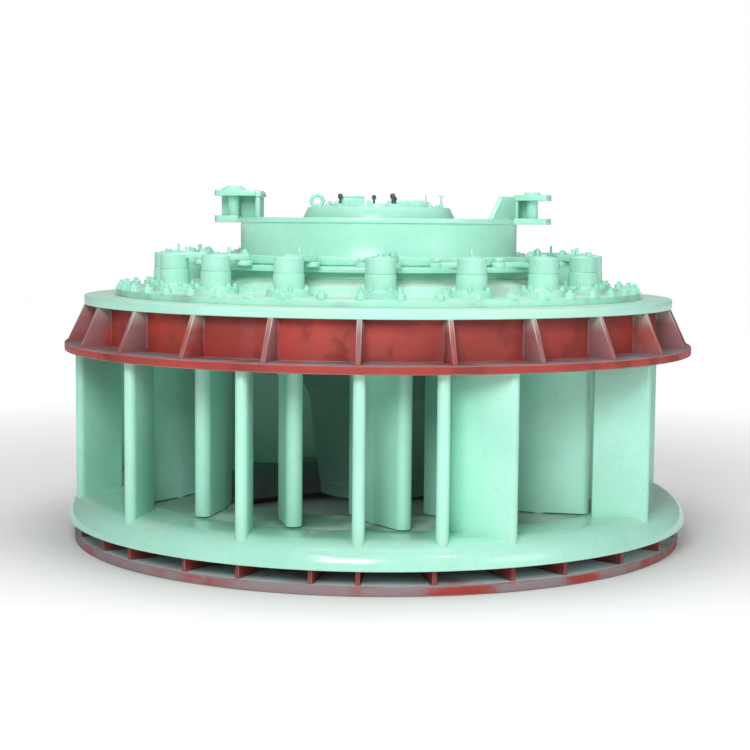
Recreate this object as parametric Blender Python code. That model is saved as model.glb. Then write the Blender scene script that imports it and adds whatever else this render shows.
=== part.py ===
"""Distributor of a vertical Kaplan turbine: the water-guide assembly that stands round the runner.

Metres, +Z up. The origin is on the turbine's axis at the foot of the base flange, and -Y is the front.
Azimuths are in degrees from the front, towards +X. From the floor up: a red base ring with ribs, a
green stay ring and bottom ring, thirteen stay vanes, sixteen guide vanes that turn on their stems, a red
upper ring with ribs, a top plate, the head cover with a stem sleeve for each guide vane, and the
operating ring, which turns the guide vanes together through sixteen links and levers.
"""

import math

import bmesh
import bpy
from mathutils import Matrix, Vector

# Gaps between pieces that touch, and running clearances
GAP = 0.0003
RUN_GAP = 0.0005
END_CLEARANCE = 0.005

# How far joined shapes reach into each other, and how far a cutter reaches past a face
BITE = 0.010
REACH = 0.020

# How finely round pieces are divided
RING_SIDES = 48
INNER_SIDES = 36
SLEEVE_SIDES = 12
STEM_SIDES = 10
PIN_SIDES = 8

# Heights of the main levels
BASE_TOP = 0.048
STAY_FOOT = 0.122
CROWN_LIP = 0.1256
FLOOR_Z = 0.2546
ROOF_Z = 1.0375
UPPER_FLANGE_TOP = 1.080
TOP_PLATE_FOOT = 1.285
TOP_PLATE_TOP = 1.333
DECK_TOP = 1.367

# Base ring and its ribs
BASE_RADIUS = 1.684
BASE_BORE = 1.100
BASE_SHELL = 0.030
BASE_RIB = 0.020
BASE_RIB_REACH = 1.668
FRONT_BASE_RIBS = (-57.1, -47.7, -33.9, -23.3, -10.7, -3.0, 9.4, 22.9, 33.2, 47.3, 61.8)
HIDDEN_BASE_RIBS = 16

# Lower stay ring and bottom ring
STAY_RADIUS = 1.720
CROWN_FLAT_RADIUS = 1.582
CROWN_STEPS = 5
SEAM_RADIUS = 1.376
SEAM_CHAMFER = 0.006
LEDGE_RADIUS = 1.300
LEDGE_Z = 0.180
THROAT_RADIUS = 1.000
THROAT_WALL = 0.045
THROAT_FOOT = 0.050

# Stay vanes: azimuth of the nose and of the inner end
STAY_VANES = (
    (-77.0, -84.5), (-47.8, -53.4), (-22.7, -25.3), (-3.0, -3.0), (56.0, 49.4), (103.0, 96.5),
    (131.3, 125.5), (161.7, 156.0), (192.0, 186.3), (222.3, 216.6), (252.7, 247.0),
)
TONGUE_PLATES = (("left", 10.4, 13.45), ("right", 23.4, 14.32))
STAY_NOSE_RADIUS = 1.668
STAY_TAIL_RADIUS = 1.440
STAY_THICKNESS = 0.060
STAY_TAIL_THICKNESS = 0.030

# Upper ring, its ribs and the top plate
UPPER_BORE = 1.4005
UPPER_WALL_RADIUS = 1.530
UPPER_WALL = 0.025
UPPER_RADIUS = 1.732
UPPER_RIBS = 24
UPPER_RIB = 0.025
UPPER_RIB_START = -3.1
UPPER_RIB_REACH = 1.718
UPPER_RIB_TOE = 0.004
TOP_PLATE_RADIUS = 1.624

# Head cover
HEAD_WALL_RADIUS = 1.400
HEAD_FLANGE_RADIUS = 1.453
HEAD_PLATE = 0.030
HEAD_BORE = 0.970
HEAD_ROOF_TOP = 1.0775
DECK_RISE = ((1.085, DECK_TOP), (1.055, 1.415), (0.930, 1.450))
DECK_RISE_UNDER = ((0.915, 1.425), (1.030, 1.390), (1.062, DECK_TOP - HEAD_PLATE))
PAD_TOP = 1.4825
PAD_FOOT = 1.425
PAD_RADIUS = 0.930
PAD_BORE = 0.800
SLEEVE_RADIUS = 0.078
SLEEVE_TOP = 1.4815

# Guide vanes
GUIDE_VANES = 16
GUIDE_START = 0.4
GUIDE_CIRCLE = 1.178
GUIDE_LEAN = 33.0
LEAF_NOSE = 0.2546
LEAF_TAIL = 0.2614
LEAF_NOSE_RADIUS = 0.041
LEAF_HALF = 0.045
LEAF_EDGE = 0.007
LEAF_NOSE_STEPS = 3
LEAF_TAIL_STEPS = 3
LEAF_TAPER = 1.5
STEM_RADIUS = 0.050
LOWER_STEM_RADIUS = 0.045
LOWER_STEM_FOOT = 0.186
STEM_BITE = 0.030

# Levers, links and their pins
LEVER_LENGTH = 0.150
LEVER_REST = 24.75
HUB_RADIUS = 0.075
HUB_FOOT = SLEEVE_TOP + RUN_GAP
HUB_TOP = 1.562
ARM_FOOT = 1.5385
ARM_TOP = 1.5705
ARM_ROOT_WIDTH = 0.096
ARM_TIP_RADIUS = 0.030
LEVER_PIN_FOOT = 1.513
LINK_FOOT = 1.5105
LINK_TOP = 1.5365
LINK_PIN_CIRCLE = 0.963
LINK_PIN_OFFSET = -5.4
LINK_PIN_RADIUS = 0.014
LINK_PIN_GAP = 0.0006
LINK_EYE_RADIUS = 0.034
LINK_BAR_WIDTH = 0.042
OPEN_EYE_RADIUS = 0.040
OPEN_EYE_SLACK = 0.0115
CAP_RADIUS = 0.025
CAP_TOP = 1.556
CAP_LIFT = 0.003

# Operating ring
RING_FOOT = PAD_TOP + RUN_GAP
RING_BORE = 0.739
DRUM_RADIUS = 0.769
RING_FLANGE_RADIUS = 1.010
RING_FLANGE_TOP = 1.510
RIM_RADIUS = 0.920
RIM_GROOVE = 0.009
RIM_STEP = 0.015
RIM_TOP = 1.558
DRUM_FLANGE_RADIUS = 0.785
DRUM_FLANGE_FOOT = 1.732
DRUM_FLANGE_TOP = 1.758

# Ears of the operating ring and their pins, in a frame whose +X points outwards through the pin;
# the tip's corners are measured from the pin
EAR_TIP = ((0.043, 0.104), (0.086, 0.085), (0.100, 0.045))
EAR_LOWER_ROOT = 0.700
EAR_LOWER_HALF = 0.140
EAR_WALL = 0.025
EAR_DRILL_TOP = 1.950
EAR_PIN_RADIUS = 0.025
EAR_SPACER_RADIUS = 0.032

# Right ear: a gusset along the drum's flange, a cross plate at its end and a short wall behind
RIGHT_AZIMUTH = 78.0
RIGHT_PIN_R = 0.857
RIGHT_LOWER_TOP = 1.764
RIGHT_UPPER_FOOT = 1.862
RIGHT_UPPER_TOP = 1.892
RIGHT_UPPER_ROOT = 0.762
RIGHT_UPPER_HALF = 0.075
RIGHT_GUSSET_START = (0.677, -0.360)
RIGHT_GUSSET_END = (0.772, -0.030)
RIGHT_GUSSET_RISE = 0.122
RIGHT_GUSSET_SLOPE = 0.135
RIGHT_CROSS = (0.760, 0.785)
RIGHT_CROSS_SIDE = -0.060
RIGHT_WALL = (0.765, 0.850)
RIGHT_WALL_SIDE = 0.070
RIGHT_HEAD = (0.046, 0.046, 0.015)

# Left ear: a long wall behind, and an end wall towards the axis
LEFT_AZIMUTH = 266.0
LEFT_PIN_R = 0.818
LEFT_LOWER_TOP = 1.770
LEFT_UPPER_FOOT = 1.879
LEFT_UPPER_TOP = 1.911
LEFT_UPPER_ROOT = 0.650
LEFT_UPPER_HALF = 0.108
LEFT_END_WALL = (0.658, 0.683)
LEFT_END_WALL_SIDE = 0.090
LEFT_WALL = (0.668, 0.898)
LEFT_WALL_SIDE = -0.085
LEFT_HEAD = (0.072, 0.045, 0.024)

# Inner head cover, the cone that carries it down to the runner, and the inner cover on top
CONE_WALL = 0.025
CONE_WALL_RISE = 0.015
CONE_FOOT = 0.224
CONE_FOOT_RADIUS = 0.318
CONE_COLLAR_TOP = 0.300
CONE_COLLAR_STEP = 0.008
CONE_WAIST_RADIUS = 0.378
CONE_WAIST_Z = 0.720
CONE_FLARE_STEPS = 3
INNER_WALL_RADIUS = 0.720
INNER_FLANGE_RADIUS = 0.900
INNER_FLANGE_BORE = 0.600
COVER_FOOT_RADIUS = 0.728
COVER_FOOT_TOP = 1.450
COVER_DRUM_RADIUS = 0.420
COVER_DRUM_TOP = 1.766
COVER_SHELF_RADIUS = 0.395
COVER_SHELF_Z = 1.820
COVER_LID_RADIUS = 0.300
COVER_LID_Z = 1.838
COVER_WALL = 0.025
COVER_CORNER_DROP = 0.010
EYE_X = -0.345
EYE_HEIGHT = 0.067
EYE_HALF_WIDTH = 0.045
EYE_FOOT_HALF_WIDTH = 0.020
EYE_TOP_HALF_WIDTH = 0.018
EYE_SIDE_HALF_HEIGHT = 0.010
EYE_HOLE_RADIUS = 0.020
EYE_THICKNESS = 0.022

# Paint: colour, roughness and metallic value
MINT = ((0.42, 0.80, 0.62, 1.0), 0.38, 0.0)
RED_OXIDE = ((0.36, 0.07, 0.055, 1.0), 0.62, 0.0)
DUSTY_RED = ((0.27, 0.10, 0.10, 1.0), 0.75, 0.0)


def clear_scene():
    for old in list(bpy.data.objects):
        bpy.data.objects.remove(old, do_unlink=True)


def radial(azimuth):
    """Unit vector that points outwards at an azimuth."""
    turn = math.radians(azimuth)
    return Vector((math.sin(turn), -math.cos(turn), 0.0))


def circle(radius, sides, centre=(0.0, 0.0)):
    """Corners of a regular polygon with its corners on the circle."""
    step = 2 * math.pi / sides
    return [(centre[0] + radius * math.cos(k * step), centre[1] + radius * math.sin(k * step))
            for k in range(sides)]


def hole_radius(shaft_radius, gap, sides):
    """Corner radius of a polygonal hole whose flats clear a shaft by the gap."""
    return (shaft_radius + gap) / math.cos(math.pi / sides)


def new_object(name, bm):
    """An object made from a bmesh, with its faces pointing out."""
    bmesh.ops.recalc_face_normals(bm, faces=bm.faces)
    mesh = bpy.data.meshes.new(name)
    bm.to_mesh(mesh)
    bm.free()
    obj = bpy.data.objects.new(name, mesh)
    bpy.context.scene.collection.objects.link(obj)
    return obj


def turned(name, profile, sides=RING_SIDES):
    """A closed profile of (radius, z) points, spun round the Z axis."""
    bm = bmesh.new()
    corners = [bm.verts.new((radius, 0.0, z)) for radius, z in profile]
    edges = [bm.edges.new((corners[k - 1], corners[k])) for k in range(len(corners))]
    bmesh.ops.spin(bm, geom=edges, cent=(0, 0, 0), axis=(0, 0, 1), angle=2 * math.pi, steps=sides,
                   use_merge=True)
    bmesh.ops.remove_doubles(bm, verts=bm.verts, dist=1e-5)
    bmesh.ops.dissolve_degenerate(bm, edges=bm.edges, dist=1e-6)
    loose = [edge for edge in bm.edges if not edge.link_faces]
    bmesh.ops.delete(bm, geom=loose, context="EDGES")
    return new_object(name, bm)


def prism(name, outline, foot, top):
    """A plan outline of (x, y) points, extruded from one height to another."""
    bm = bmesh.new()
    base = bm.faces.new([bm.verts.new((x, y, foot)) for x, y in outline])
    grown = bmesh.ops.extrude_face_region(bm, geom=[base])
    lifted = [item for item in grown["geom"] if isinstance(item, bmesh.types.BMVert)]
    bmesh.ops.translate(bm, verts=lifted, vec=(0.0, 0.0, top - foot))
    return new_object(name, bm)


def upright_plate(name, outline, thickness):
    """An outline of (x, z) points in the radial plane, thickened to both sides of it."""
    bm = bmesh.new()
    base = bm.faces.new([bm.verts.new((x, -thickness / 2, z)) for x, z in outline])
    grown = bmesh.ops.extrude_face_region(bm, geom=[base])
    moved = [item for item in grown["geom"] if isinstance(item, bmesh.types.BMVert)]
    bmesh.ops.translate(bm, verts=moved, vec=(0.0, thickness, 0.0))
    return new_object(name, bm)


def box(name, low, high):
    outline = [(low[0], low[1]), (high[0], low[1]), (high[0], high[1]), (low[0], high[1])]
    return prism(name, outline, low[2], high[2])


def moved(obj, matrix):
    """Transform an object's mesh and hand the object back."""
    obj.data.transform(matrix)
    return obj


def gathered(name, pieces):
    """Put several pieces that don't touch into one helper object."""
    bm = bmesh.new()
    for piece in pieces:
        bm.from_mesh(piece.data)
        bpy.data.objects.remove(piece, do_unlink=True)
    return new_object(name, bm)


def combine(obj, operation, helper, keep=False):
    """Apply one exact Boolean with a helper piece."""
    helper.display_type = "WIRE"
    helper.hide_render = True
    modifier = obj.modifiers.new("combine", "BOOLEAN")
    modifier.operation = operation
    modifier.solver = "EXACT"
    modifier.object = helper
    graph = bpy.context.evaluated_depsgraph_get()
    graph.update()
    result = bpy.data.meshes.new_from_object(obj.evaluated_get(graph), depsgraph=graph)
    obj.modifiers.remove(modifier)
    obj.data = result
    if not keep:
        bpy.data.objects.remove(helper, do_unlink=True)
    return obj


def around_axis(azimuth):
    """Turns the local frame, whose +X points outwards, to an azimuth."""
    return Matrix.Rotation(math.radians(azimuth - 90.0), 4, "Z")


def flats_joined(obj):
    """Join the faces that a Boolean has split within one plane."""
    bm = bmesh.new()
    bm.from_mesh(obj.data)
    bmesh.ops.dissolve_limit(bm, angle_limit=math.radians(0.2), verts=bm.verts, edges=bm.edges)
    bm.to_mesh(obj.data)
    bm.free()


def painted(obj, finish):
    """Give a piece its own material and smooth its round faces."""
    flats_joined(obj)
    colour, roughness, metallic = finish
    material = bpy.data.materials.new(obj.name + "_finish")
    material.use_nodes = True
    shader = material.node_tree.nodes["Principled BSDF"]
    shader.inputs["Base Color"].default_value = colour
    shader.inputs["Roughness"].default_value = roughness
    shader.inputs["Metallic"].default_value = metallic
    obj.data.materials.clear()
    obj.data.materials.append(material)
    obj.data.shade_smooth()
    obj.data.set_sharp_from_angle(angle=math.radians(35))
    return obj


def copy_of(pattern, name):
    """Another object on the same mesh."""
    obj = bpy.data.objects.new(name, pattern.data)
    bpy.context.scene.collection.objects.link(obj)
    return obj


def base_rib_azimuths():
    """The front ribs, then even steps round the hidden side."""
    first, last = FRONT_BASE_RIBS[-1], FRONT_BASE_RIBS[0] + 360.0
    step = (last - first) / (HIDDEN_BASE_RIBS + 1)
    return list(FRONT_BASE_RIBS) + [first + step * (k + 1) for k in range(HIDDEN_BASE_RIBS)]


def make_base_ring():
    """Base flange, the shell inside it, and the ribs that carry the stay ring."""
    shell = BASE_BORE + BASE_SHELL
    profile = [(BASE_BORE, 0.0), (BASE_RADIUS, 0.0), (BASE_RADIUS, BASE_TOP), (shell, BASE_TOP),
               (shell, STAY_FOOT - GAP), (BASE_BORE, STAY_FOOT - GAP)]
    ring = turned("base_ring", profile)
    outline = [(shell - BITE, BASE_TOP - BITE), (BASE_RIB_REACH, BASE_TOP - BITE),
               (BASE_RIB_REACH, STAY_FOOT - GAP), (shell - BITE, STAY_FOOT - GAP)]
    ribs = [moved(upright_plate("rib", outline, BASE_RIB), around_axis(azimuth))
            for azimuth in base_rib_azimuths()]
    combine(ring, "UNION", gathered("base_ribs", ribs))
    return painted(ring, DUSTY_RED)


def crown_profile(grow=0.0):
    """Section of the lower stay ring: a flat top that rounds down to the outer lip."""
    reach = STAY_RADIUS - CROWN_FLAT_RADIUS
    rise = FLOOR_Z - CROWN_LIP
    crown = []
    for k in range(CROWN_STEPS + 1):
        turn = 0.5 * math.pi * k / CROWN_STEPS
        crown.append((CROWN_FLAT_RADIUS + (reach + grow) * math.cos(turn),
                      CROWN_LIP + (rise + grow) * math.sin(turn)))
    return crown


def make_stay_ring():
    profile = [(LEDGE_RADIUS, STAY_FOOT), (STAY_RADIUS, STAY_FOOT)] + crown_profile()
    profile += [(SEAM_RADIUS + SEAM_CHAMFER, FLOOR_Z), (SEAM_RADIUS, FLOOR_Z - SEAM_CHAMFER),
                (SEAM_RADIUS, LEDGE_Z), (LEDGE_RADIUS, LEDGE_Z)]
    return painted(turned("lower_stay_ring", profile), MINT)


def guide_azimuths():
    return [GUIDE_START + 360.0 * k / GUIDE_VANES for k in range(GUIDE_VANES)]


def holes_on_guide_circle(radius, foot, top):
    """One cutter for the holes that the guide vanes' stems turn in."""
    holes = []
    for azimuth in guide_azimuths():
        place = Matrix.Translation(GUIDE_CIRCLE * radial(azimuth)) @ around_axis(azimuth)
        holes.append(moved(prism("hole", circle(radius, STEM_SIDES), foot, top), place))
    return gathered("stem_holes", holes)


def make_bottom_ring():
    """Flat ring round the throat, with a hole for the lower stem of each guide vane."""
    seam = SEAM_RADIUS - GAP
    profile = [(THROAT_RADIUS, THROAT_FOOT), (THROAT_RADIUS + THROAT_WALL, THROAT_FOOT),
               (THROAT_RADIUS + THROAT_WALL, LEDGE_Z + GAP), (seam, LEDGE_Z + GAP),
               (seam, FLOOR_Z - SEAM_CHAMFER), (seam - SEAM_CHAMFER, FLOOR_Z), (THROAT_RADIUS, FLOOR_Z)]
    ring = turned("bottom_ring", profile)
    radius = hole_radius(LOWER_STEM_RADIUS, GAP, STEM_SIDES)
    combine(ring, "DIFFERENCE", holes_on_guide_circle(radius, LEDGE_Z - REACH, FLOOR_Z + REACH))
    return painted(ring, MINT)


def bar_outline(nose, tail, nose_width, tail_width, nose_steps=6):
    """Plan outline of a plate with a round nose and a narrower, square-cut tail."""
    along = (tail - nose).normalized()
    side = Vector((-along.y, along.x, 0.0))
    centre = nose + along * (nose_width / 2)
    points = []
    for k in range(nose_steps + 1):
        turn = math.pi * k / nose_steps
        points.append(centre + (side * math.cos(turn) - along * math.sin(turn)) * (nose_width / 2))
    points += [tail - side * (tail_width / 2), tail + side * (tail_width / 2)]
    return [(point.x, point.y) for point in points]


def make_stay_vane(name, nose_azimuth, tail_azimuth, crown):
    """A fixed vane between the stay ring and the upper ring, cut to the crown under its nose."""
    nose = STAY_NOSE_RADIUS * radial(nose_azimuth)
    tail = STAY_TAIL_RADIUS * radial(tail_azimuth)
    outline = bar_outline(nose, tail, STAY_THICKNESS, STAY_TAIL_THICKNESS)
    vane = prism(name, outline, CROWN_LIP, ROOF_Z - GAP)
    combine(vane, "DIFFERENCE", crown, keep=True)
    return painted(vane, MINT)


def make_stay_vanes():
    """The fixed vanes and the two plates of the tongue."""
    foot = [(LEDGE_RADIUS, STAY_FOOT - REACH), (STAY_RADIUS + GAP, STAY_FOOT - REACH)]
    crown_cutter = turned("crown_cutter", foot + crown_profile(GAP) + [(LEDGE_RADIUS, FLOOR_Z + GAP)])
    vanes = [make_stay_vane(f"stay_vane_{k + 1:02d}", nose, tail, crown_cutter)
             for k, (nose, tail) in enumerate(STAY_VANES)]
    vanes += [make_stay_vane("tongue_plate_" + side, nose, tail, crown_cutter)
              for side, nose, tail in TONGUE_PLATES]
    bpy.data.objects.remove(crown_cutter, do_unlink=True)
    return vanes


def make_upper_ring():
    """Upper flange of the stay ring, its wall and the sloping ribs round it."""
    wall = UPPER_WALL_RADIUS + UPPER_WALL
    wall_top = TOP_PLATE_FOOT - GAP
    profile = [(UPPER_BORE, ROOF_Z), (UPPER_RADIUS, ROOF_Z), (UPPER_RADIUS, UPPER_FLANGE_TOP),
               (wall, UPPER_FLANGE_TOP), (wall, wall_top), (UPPER_WALL_RADIUS, wall_top),
               (UPPER_WALL_RADIUS, UPPER_FLANGE_TOP), (UPPER_BORE, UPPER_FLANGE_TOP)]
    ring = turned("upper_ring", profile)
    outline = [(wall - BITE, UPPER_FLANGE_TOP - BITE), (UPPER_RIB_REACH, UPPER_FLANGE_TOP - BITE),
               (UPPER_RIB_REACH, UPPER_FLANGE_TOP + UPPER_RIB_TOE), (TOP_PLATE_RADIUS, wall_top),
               (wall - BITE, wall_top)]
    ribs = [moved(upright_plate("rib", outline, UPPER_RIB),
                  around_axis(UPPER_RIB_START + 360.0 * k / UPPER_RIBS)) for k in range(UPPER_RIBS)]
    combine(ring, "UNION", gathered("upper_ribs", ribs))
    return painted(ring, RED_OXIDE)


def make_top_plate():
    profile = [(UPPER_BORE, TOP_PLATE_FOOT), (TOP_PLATE_RADIUS, TOP_PLATE_FOOT),
               (TOP_PLATE_RADIUS, TOP_PLATE_TOP), (UPPER_BORE, TOP_PLATE_TOP)]
    return painted(turned("top_plate", profile), MINT)


def make_head_cover():
    """Roof plate, outer wall and deck in one, open to the axis, with the stem sleeves through it."""
    wall_inside = HEAD_WALL_RADIUS - HEAD_PLATE
    profile = [(HEAD_BORE, ROOF_Z), (HEAD_WALL_RADIUS, ROOF_Z), (HEAD_WALL_RADIUS, TOP_PLATE_TOP + GAP),
               (HEAD_FLANGE_RADIUS, TOP_PLATE_TOP + GAP), (HEAD_FLANGE_RADIUS, DECK_TOP)]
    profile += DECK_RISE
    profile += [(PAD_RADIUS, PAD_TOP), (PAD_BORE, PAD_TOP), (PAD_BORE, PAD_FOOT)]
    profile += DECK_RISE_UNDER
    profile += [(wall_inside, DECK_TOP - HEAD_PLATE), (wall_inside, HEAD_ROOF_TOP),
                (HEAD_BORE, HEAD_ROOF_TOP)]
    cover = turned("head_cover", profile)
    sleeves = [moved(prism("sleeve", circle(SLEEVE_RADIUS, SLEEVE_SIDES), ROOF_Z + BITE, SLEEVE_TOP),
                     Matrix.Translation(GUIDE_CIRCLE * radial(azimuth)) @ around_axis(azimuth))
               for azimuth in guide_azimuths()]
    combine(cover, "UNION", gathered("sleeves", sleeves))
    radius = hole_radius(STEM_RADIUS, GAP, STEM_SIDES)
    combine(cover, "DIFFERENCE", holes_on_guide_circle(radius, ROOF_Z - REACH, SLEEVE_TOP + REACH))
    return painted(cover, MINT)


def cone_line(inset):
    """The water side of the inner cone from its rim down to its foot, or a line inside it."""
    rim_radius, rim_z = HEAD_BORE - GAP, ROOF_Z
    points = []
    for k in range(CONE_FLARE_STEPS):
        turn = 0.5 * math.pi * k / CONE_FLARE_STEPS
        points.append((CONE_WAIST_RADIUS + (rim_radius - CONE_WAIST_RADIUS) * (1.0 - math.sin(turn)),
                       CONE_WAIST_Z + (rim_z - CONE_WAIST_Z) * math.cos(turn)))
    points += [(CONE_WAIST_RADIUS, CONE_WAIST_Z), (CONE_FOOT_RADIUS + CONE_COLLAR_STEP, CONE_COLLAR_TOP),
               (CONE_FOOT_RADIUS, CONE_COLLAR_TOP - CONE_COLLAR_STEP), (CONE_FOOT_RADIUS, CONE_FOOT)]
    return [(radius - inset, z) for radius, z in points]


def make_inner_head_cover():
    """The cone over the runner, the wall above it and the flange that the deck lies on."""
    outer = cone_line(0.0)
    inner = [(radius, z + CONE_WALL_RISE) for radius, z in cone_line(CONE_WALL)[1:-1]]
    inner = inner + [(CONE_FOOT_RADIUS - CONE_WALL, CONE_FOOT)]
    flange_top = PAD_FOOT - GAP
    flange_foot = flange_top - HEAD_PLATE
    wall_inside = INNER_WALL_RADIUS - HEAD_PLATE
    inner = [point for point in inner if point[0] < wall_inside - BITE]
    profile = outer + inner[::-1]
    profile += [(wall_inside, HEAD_ROOF_TOP), (wall_inside, flange_foot),
                (INNER_FLANGE_BORE, flange_foot), (INNER_FLANGE_BORE, flange_top),
                (INNER_FLANGE_RADIUS, flange_top), (INNER_FLANGE_RADIUS, flange_foot),
                (INNER_WALL_RADIUS, flange_foot), (INNER_WALL_RADIUS, HEAD_ROOF_TOP),
                (HEAD_BORE - GAP, HEAD_ROOF_TOP)]
    return painted(turned("inner_head_cover", profile), MINT)


def make_inner_cover():
    """The drum and lid inside the operating ring."""
    profile = [(0.0, COVER_LID_Z), (COVER_LID_RADIUS, COVER_LID_Z), (COVER_LID_RADIUS, COVER_SHELF_Z),
               (COVER_SHELF_RADIUS, COVER_SHELF_Z), (COVER_DRUM_RADIUS, COVER_DRUM_TOP),
               (COVER_DRUM_RADIUS, COVER_FOOT_TOP), (COVER_FOOT_RADIUS, COVER_FOOT_TOP),
               (COVER_FOOT_RADIUS, PAD_FOOT), (COVER_DRUM_RADIUS - COVER_WALL, PAD_FOOT),
               (COVER_DRUM_RADIUS - COVER_WALL, COVER_DRUM_TOP - COVER_CORNER_DROP),
               (COVER_SHELF_RADIUS - COVER_WALL, COVER_SHELF_Z - COVER_WALL),
               (0.0, COVER_SHELF_Z - COVER_WALL)]
    return painted(turned("inner_cover", profile, INNER_SIDES), MINT)


def make_lifting_eye():
    """An eye plate on the shelf of the inner cover."""
    foot = COVER_SHELF_Z + GAP
    middle = foot + EYE_HEIGHT / 2
    side = [(EYE_FOOT_HALF_WIDTH, foot), (EYE_HALF_WIDTH, middle - EYE_SIDE_HALF_HEIGHT),
            (EYE_HALF_WIDTH, middle + EYE_SIDE_HALF_HEIGHT), (EYE_TOP_HALF_WIDTH, foot + EYE_HEIGHT)]
    outline = [(EYE_X + x, z) for x, z in side] + [(EYE_X - x, z) for x, z in side[::-1]]
    eye = upright_plate("lifting_eye", outline, EYE_THICKNESS)
    hole = circle(EYE_HOLE_RADIUS, PIN_SIDES, (EYE_X, middle))
    combine(eye, "DIFFERENCE", upright_plate("eye_hole", hole, EYE_THICKNESS * 3))
    return painted(eye, MINT)


def link_pin_spot(azimuth):
    return LINK_PIN_CIRCLE * radial(azimuth + LINK_PIN_OFFSET)


def make_operating_ring():
    """Drum with its flanges, and the pins that the links turn on."""
    groove = RIM_RADIUS - RIM_STEP
    groove_top = RING_FLANGE_TOP + RIM_GROOVE
    profile = [(RING_BORE, RING_FOOT), (RING_FLANGE_RADIUS, RING_FOOT),
               (RING_FLANGE_RADIUS, RING_FLANGE_TOP), (groove, RING_FLANGE_TOP), (groove, groove_top),
               (RIM_RADIUS, groove_top), (RIM_RADIUS, RIM_TOP), (DRUM_RADIUS, RIM_TOP),
               (DRUM_RADIUS, DRUM_FLANGE_FOOT), (DRUM_FLANGE_RADIUS, DRUM_FLANGE_FOOT),
               (DRUM_FLANGE_RADIUS, DRUM_FLANGE_TOP), (RING_BORE, DRUM_FLANGE_TOP)]
    ring = turned("operating_ring", profile)
    pin_foot = RING_FLANGE_TOP - BITE
    cap_foot = LINK_TOP + CAP_LIFT
    pin = [(0.0, pin_foot), (LINK_PIN_RADIUS, pin_foot), (LINK_PIN_RADIUS, cap_foot),
           (CAP_RADIUS, cap_foot), (CAP_RADIUS, CAP_TOP), (0.0, CAP_TOP)]
    pins = [moved(turned("pin", pin, PIN_SIDES), Matrix.Translation(link_pin_spot(azimuth)))
            for azimuth in guide_azimuths()]
    combine(ring, "UNION", gathered("pins", pins))
    return painted(ring, MINT)


def ear_outline(root, half_width, pin_r):
    """Plan of an ear plate: straight from its root to a tip with cut corners."""
    right = [(root, -half_width)] + [(pin_r + reach, -side) for reach, side in EAR_TIP]
    return right + [(r, -side) for r, side in right[::-1]]


def lower_ear_plate(name, top, pin_r):
    """The plate that butts against the edge of the drum's flange."""
    plate = prism(name, ear_outline(EAR_LOWER_ROOT, EAR_LOWER_HALF, pin_r), DRUM_FLANGE_FOOT, top)
    flange = circle(hole_radius(DRUM_FLANGE_RADIUS, GAP, RING_SIDES), RING_SIDES)
    return combine(plate, "DIFFERENCE", prism("flange", flange, DRUM_FLANGE_FOOT - REACH, top + REACH))


def finished_ear(ear, azimuth, pin_r):
    """Drill the ear for its pin and turn it to its place."""
    hole = circle(hole_radius(EAR_PIN_RADIUS, GAP, SLEEVE_SIDES), SLEEVE_SIDES, (pin_r, 0.0))
    combine(ear, "DIFFERENCE", prism("pin_hole", hole, DRUM_FLANGE_FOOT - REACH, EAR_DRILL_TOP))
    return painted(moved(ear, around_axis(azimuth)), MINT)


def make_right_ear():
    """Two plates, a gusset that slopes down along the flange, a cross plate and a wall behind."""
    seat = DRUM_FLANGE_TOP + GAP
    top = RIGHT_UPPER_FOOT + BITE
    ear = lower_ear_plate("ear_right", RIGHT_LOWER_TOP, RIGHT_PIN_R)
    wall = box("wall", (RIGHT_WALL[0], RIGHT_WALL_SIDE, seat),
               (RIGHT_WALL[1], RIGHT_WALL_SIDE + EAR_WALL, top))
    cross = box("cross", (RIGHT_CROSS[0], RIGHT_CROSS_SIDE, seat),
                (RIGHT_CROSS[1], RIGHT_WALL_SIDE + BITE, top))
    upper = prism("upper", ear_outline(RIGHT_UPPER_ROOT, RIGHT_UPPER_HALF, RIGHT_PIN_R),
                  RIGHT_UPPER_FOOT, RIGHT_UPPER_TOP)
    start = Vector(RIGHT_GUSSET_START)
    along = Vector(RIGHT_GUSSET_END) - start
    gusset_top = seat + RIGHT_GUSSET_RISE
    gusset = upright_plate("gusset", [(0.0, seat), (along.length, seat), (along.length, gusset_top),
                                      (RIGHT_GUSSET_SLOPE, gusset_top)], EAR_WALL)
    turn = Matrix.Rotation(math.atan2(along.y, along.x), 4, "Z")
    moved(gusset, Matrix.Translation((start.x, start.y, 0.0)) @ turn)
    for helper in (wall, cross, upper, gusset):
        combine(ear, "UNION", helper)
    return finished_ear(ear, RIGHT_AZIMUTH, RIGHT_PIN_R)


def make_left_ear():
    """Two plates, a wall behind them and an end wall towards the axis."""
    seat = DRUM_FLANGE_TOP + GAP
    top = LEFT_UPPER_FOOT + BITE
    ear = lower_ear_plate("ear_left", LEFT_LOWER_TOP, LEFT_PIN_R)
    wall = box("wall", (LEFT_WALL[0], LEFT_WALL_SIDE, seat), (LEFT_WALL[1], LEFT_WALL_SIDE + EAR_WALL, top))
    end_wall = box("end_wall", (LEFT_END_WALL[0], LEFT_WALL_SIDE + BITE, seat),
                   (LEFT_END_WALL[1], LEFT_END_WALL_SIDE, top))
    upper = prism("upper", ear_outline(LEFT_UPPER_ROOT, LEFT_UPPER_HALF, LEFT_PIN_R),
                  LEFT_UPPER_FOOT, LEFT_UPPER_TOP)
    for helper in (wall, end_wall, upper):
        combine(ear, "UNION", helper)
    return finished_ear(ear, LEFT_AZIMUTH, LEFT_PIN_R)


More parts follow.
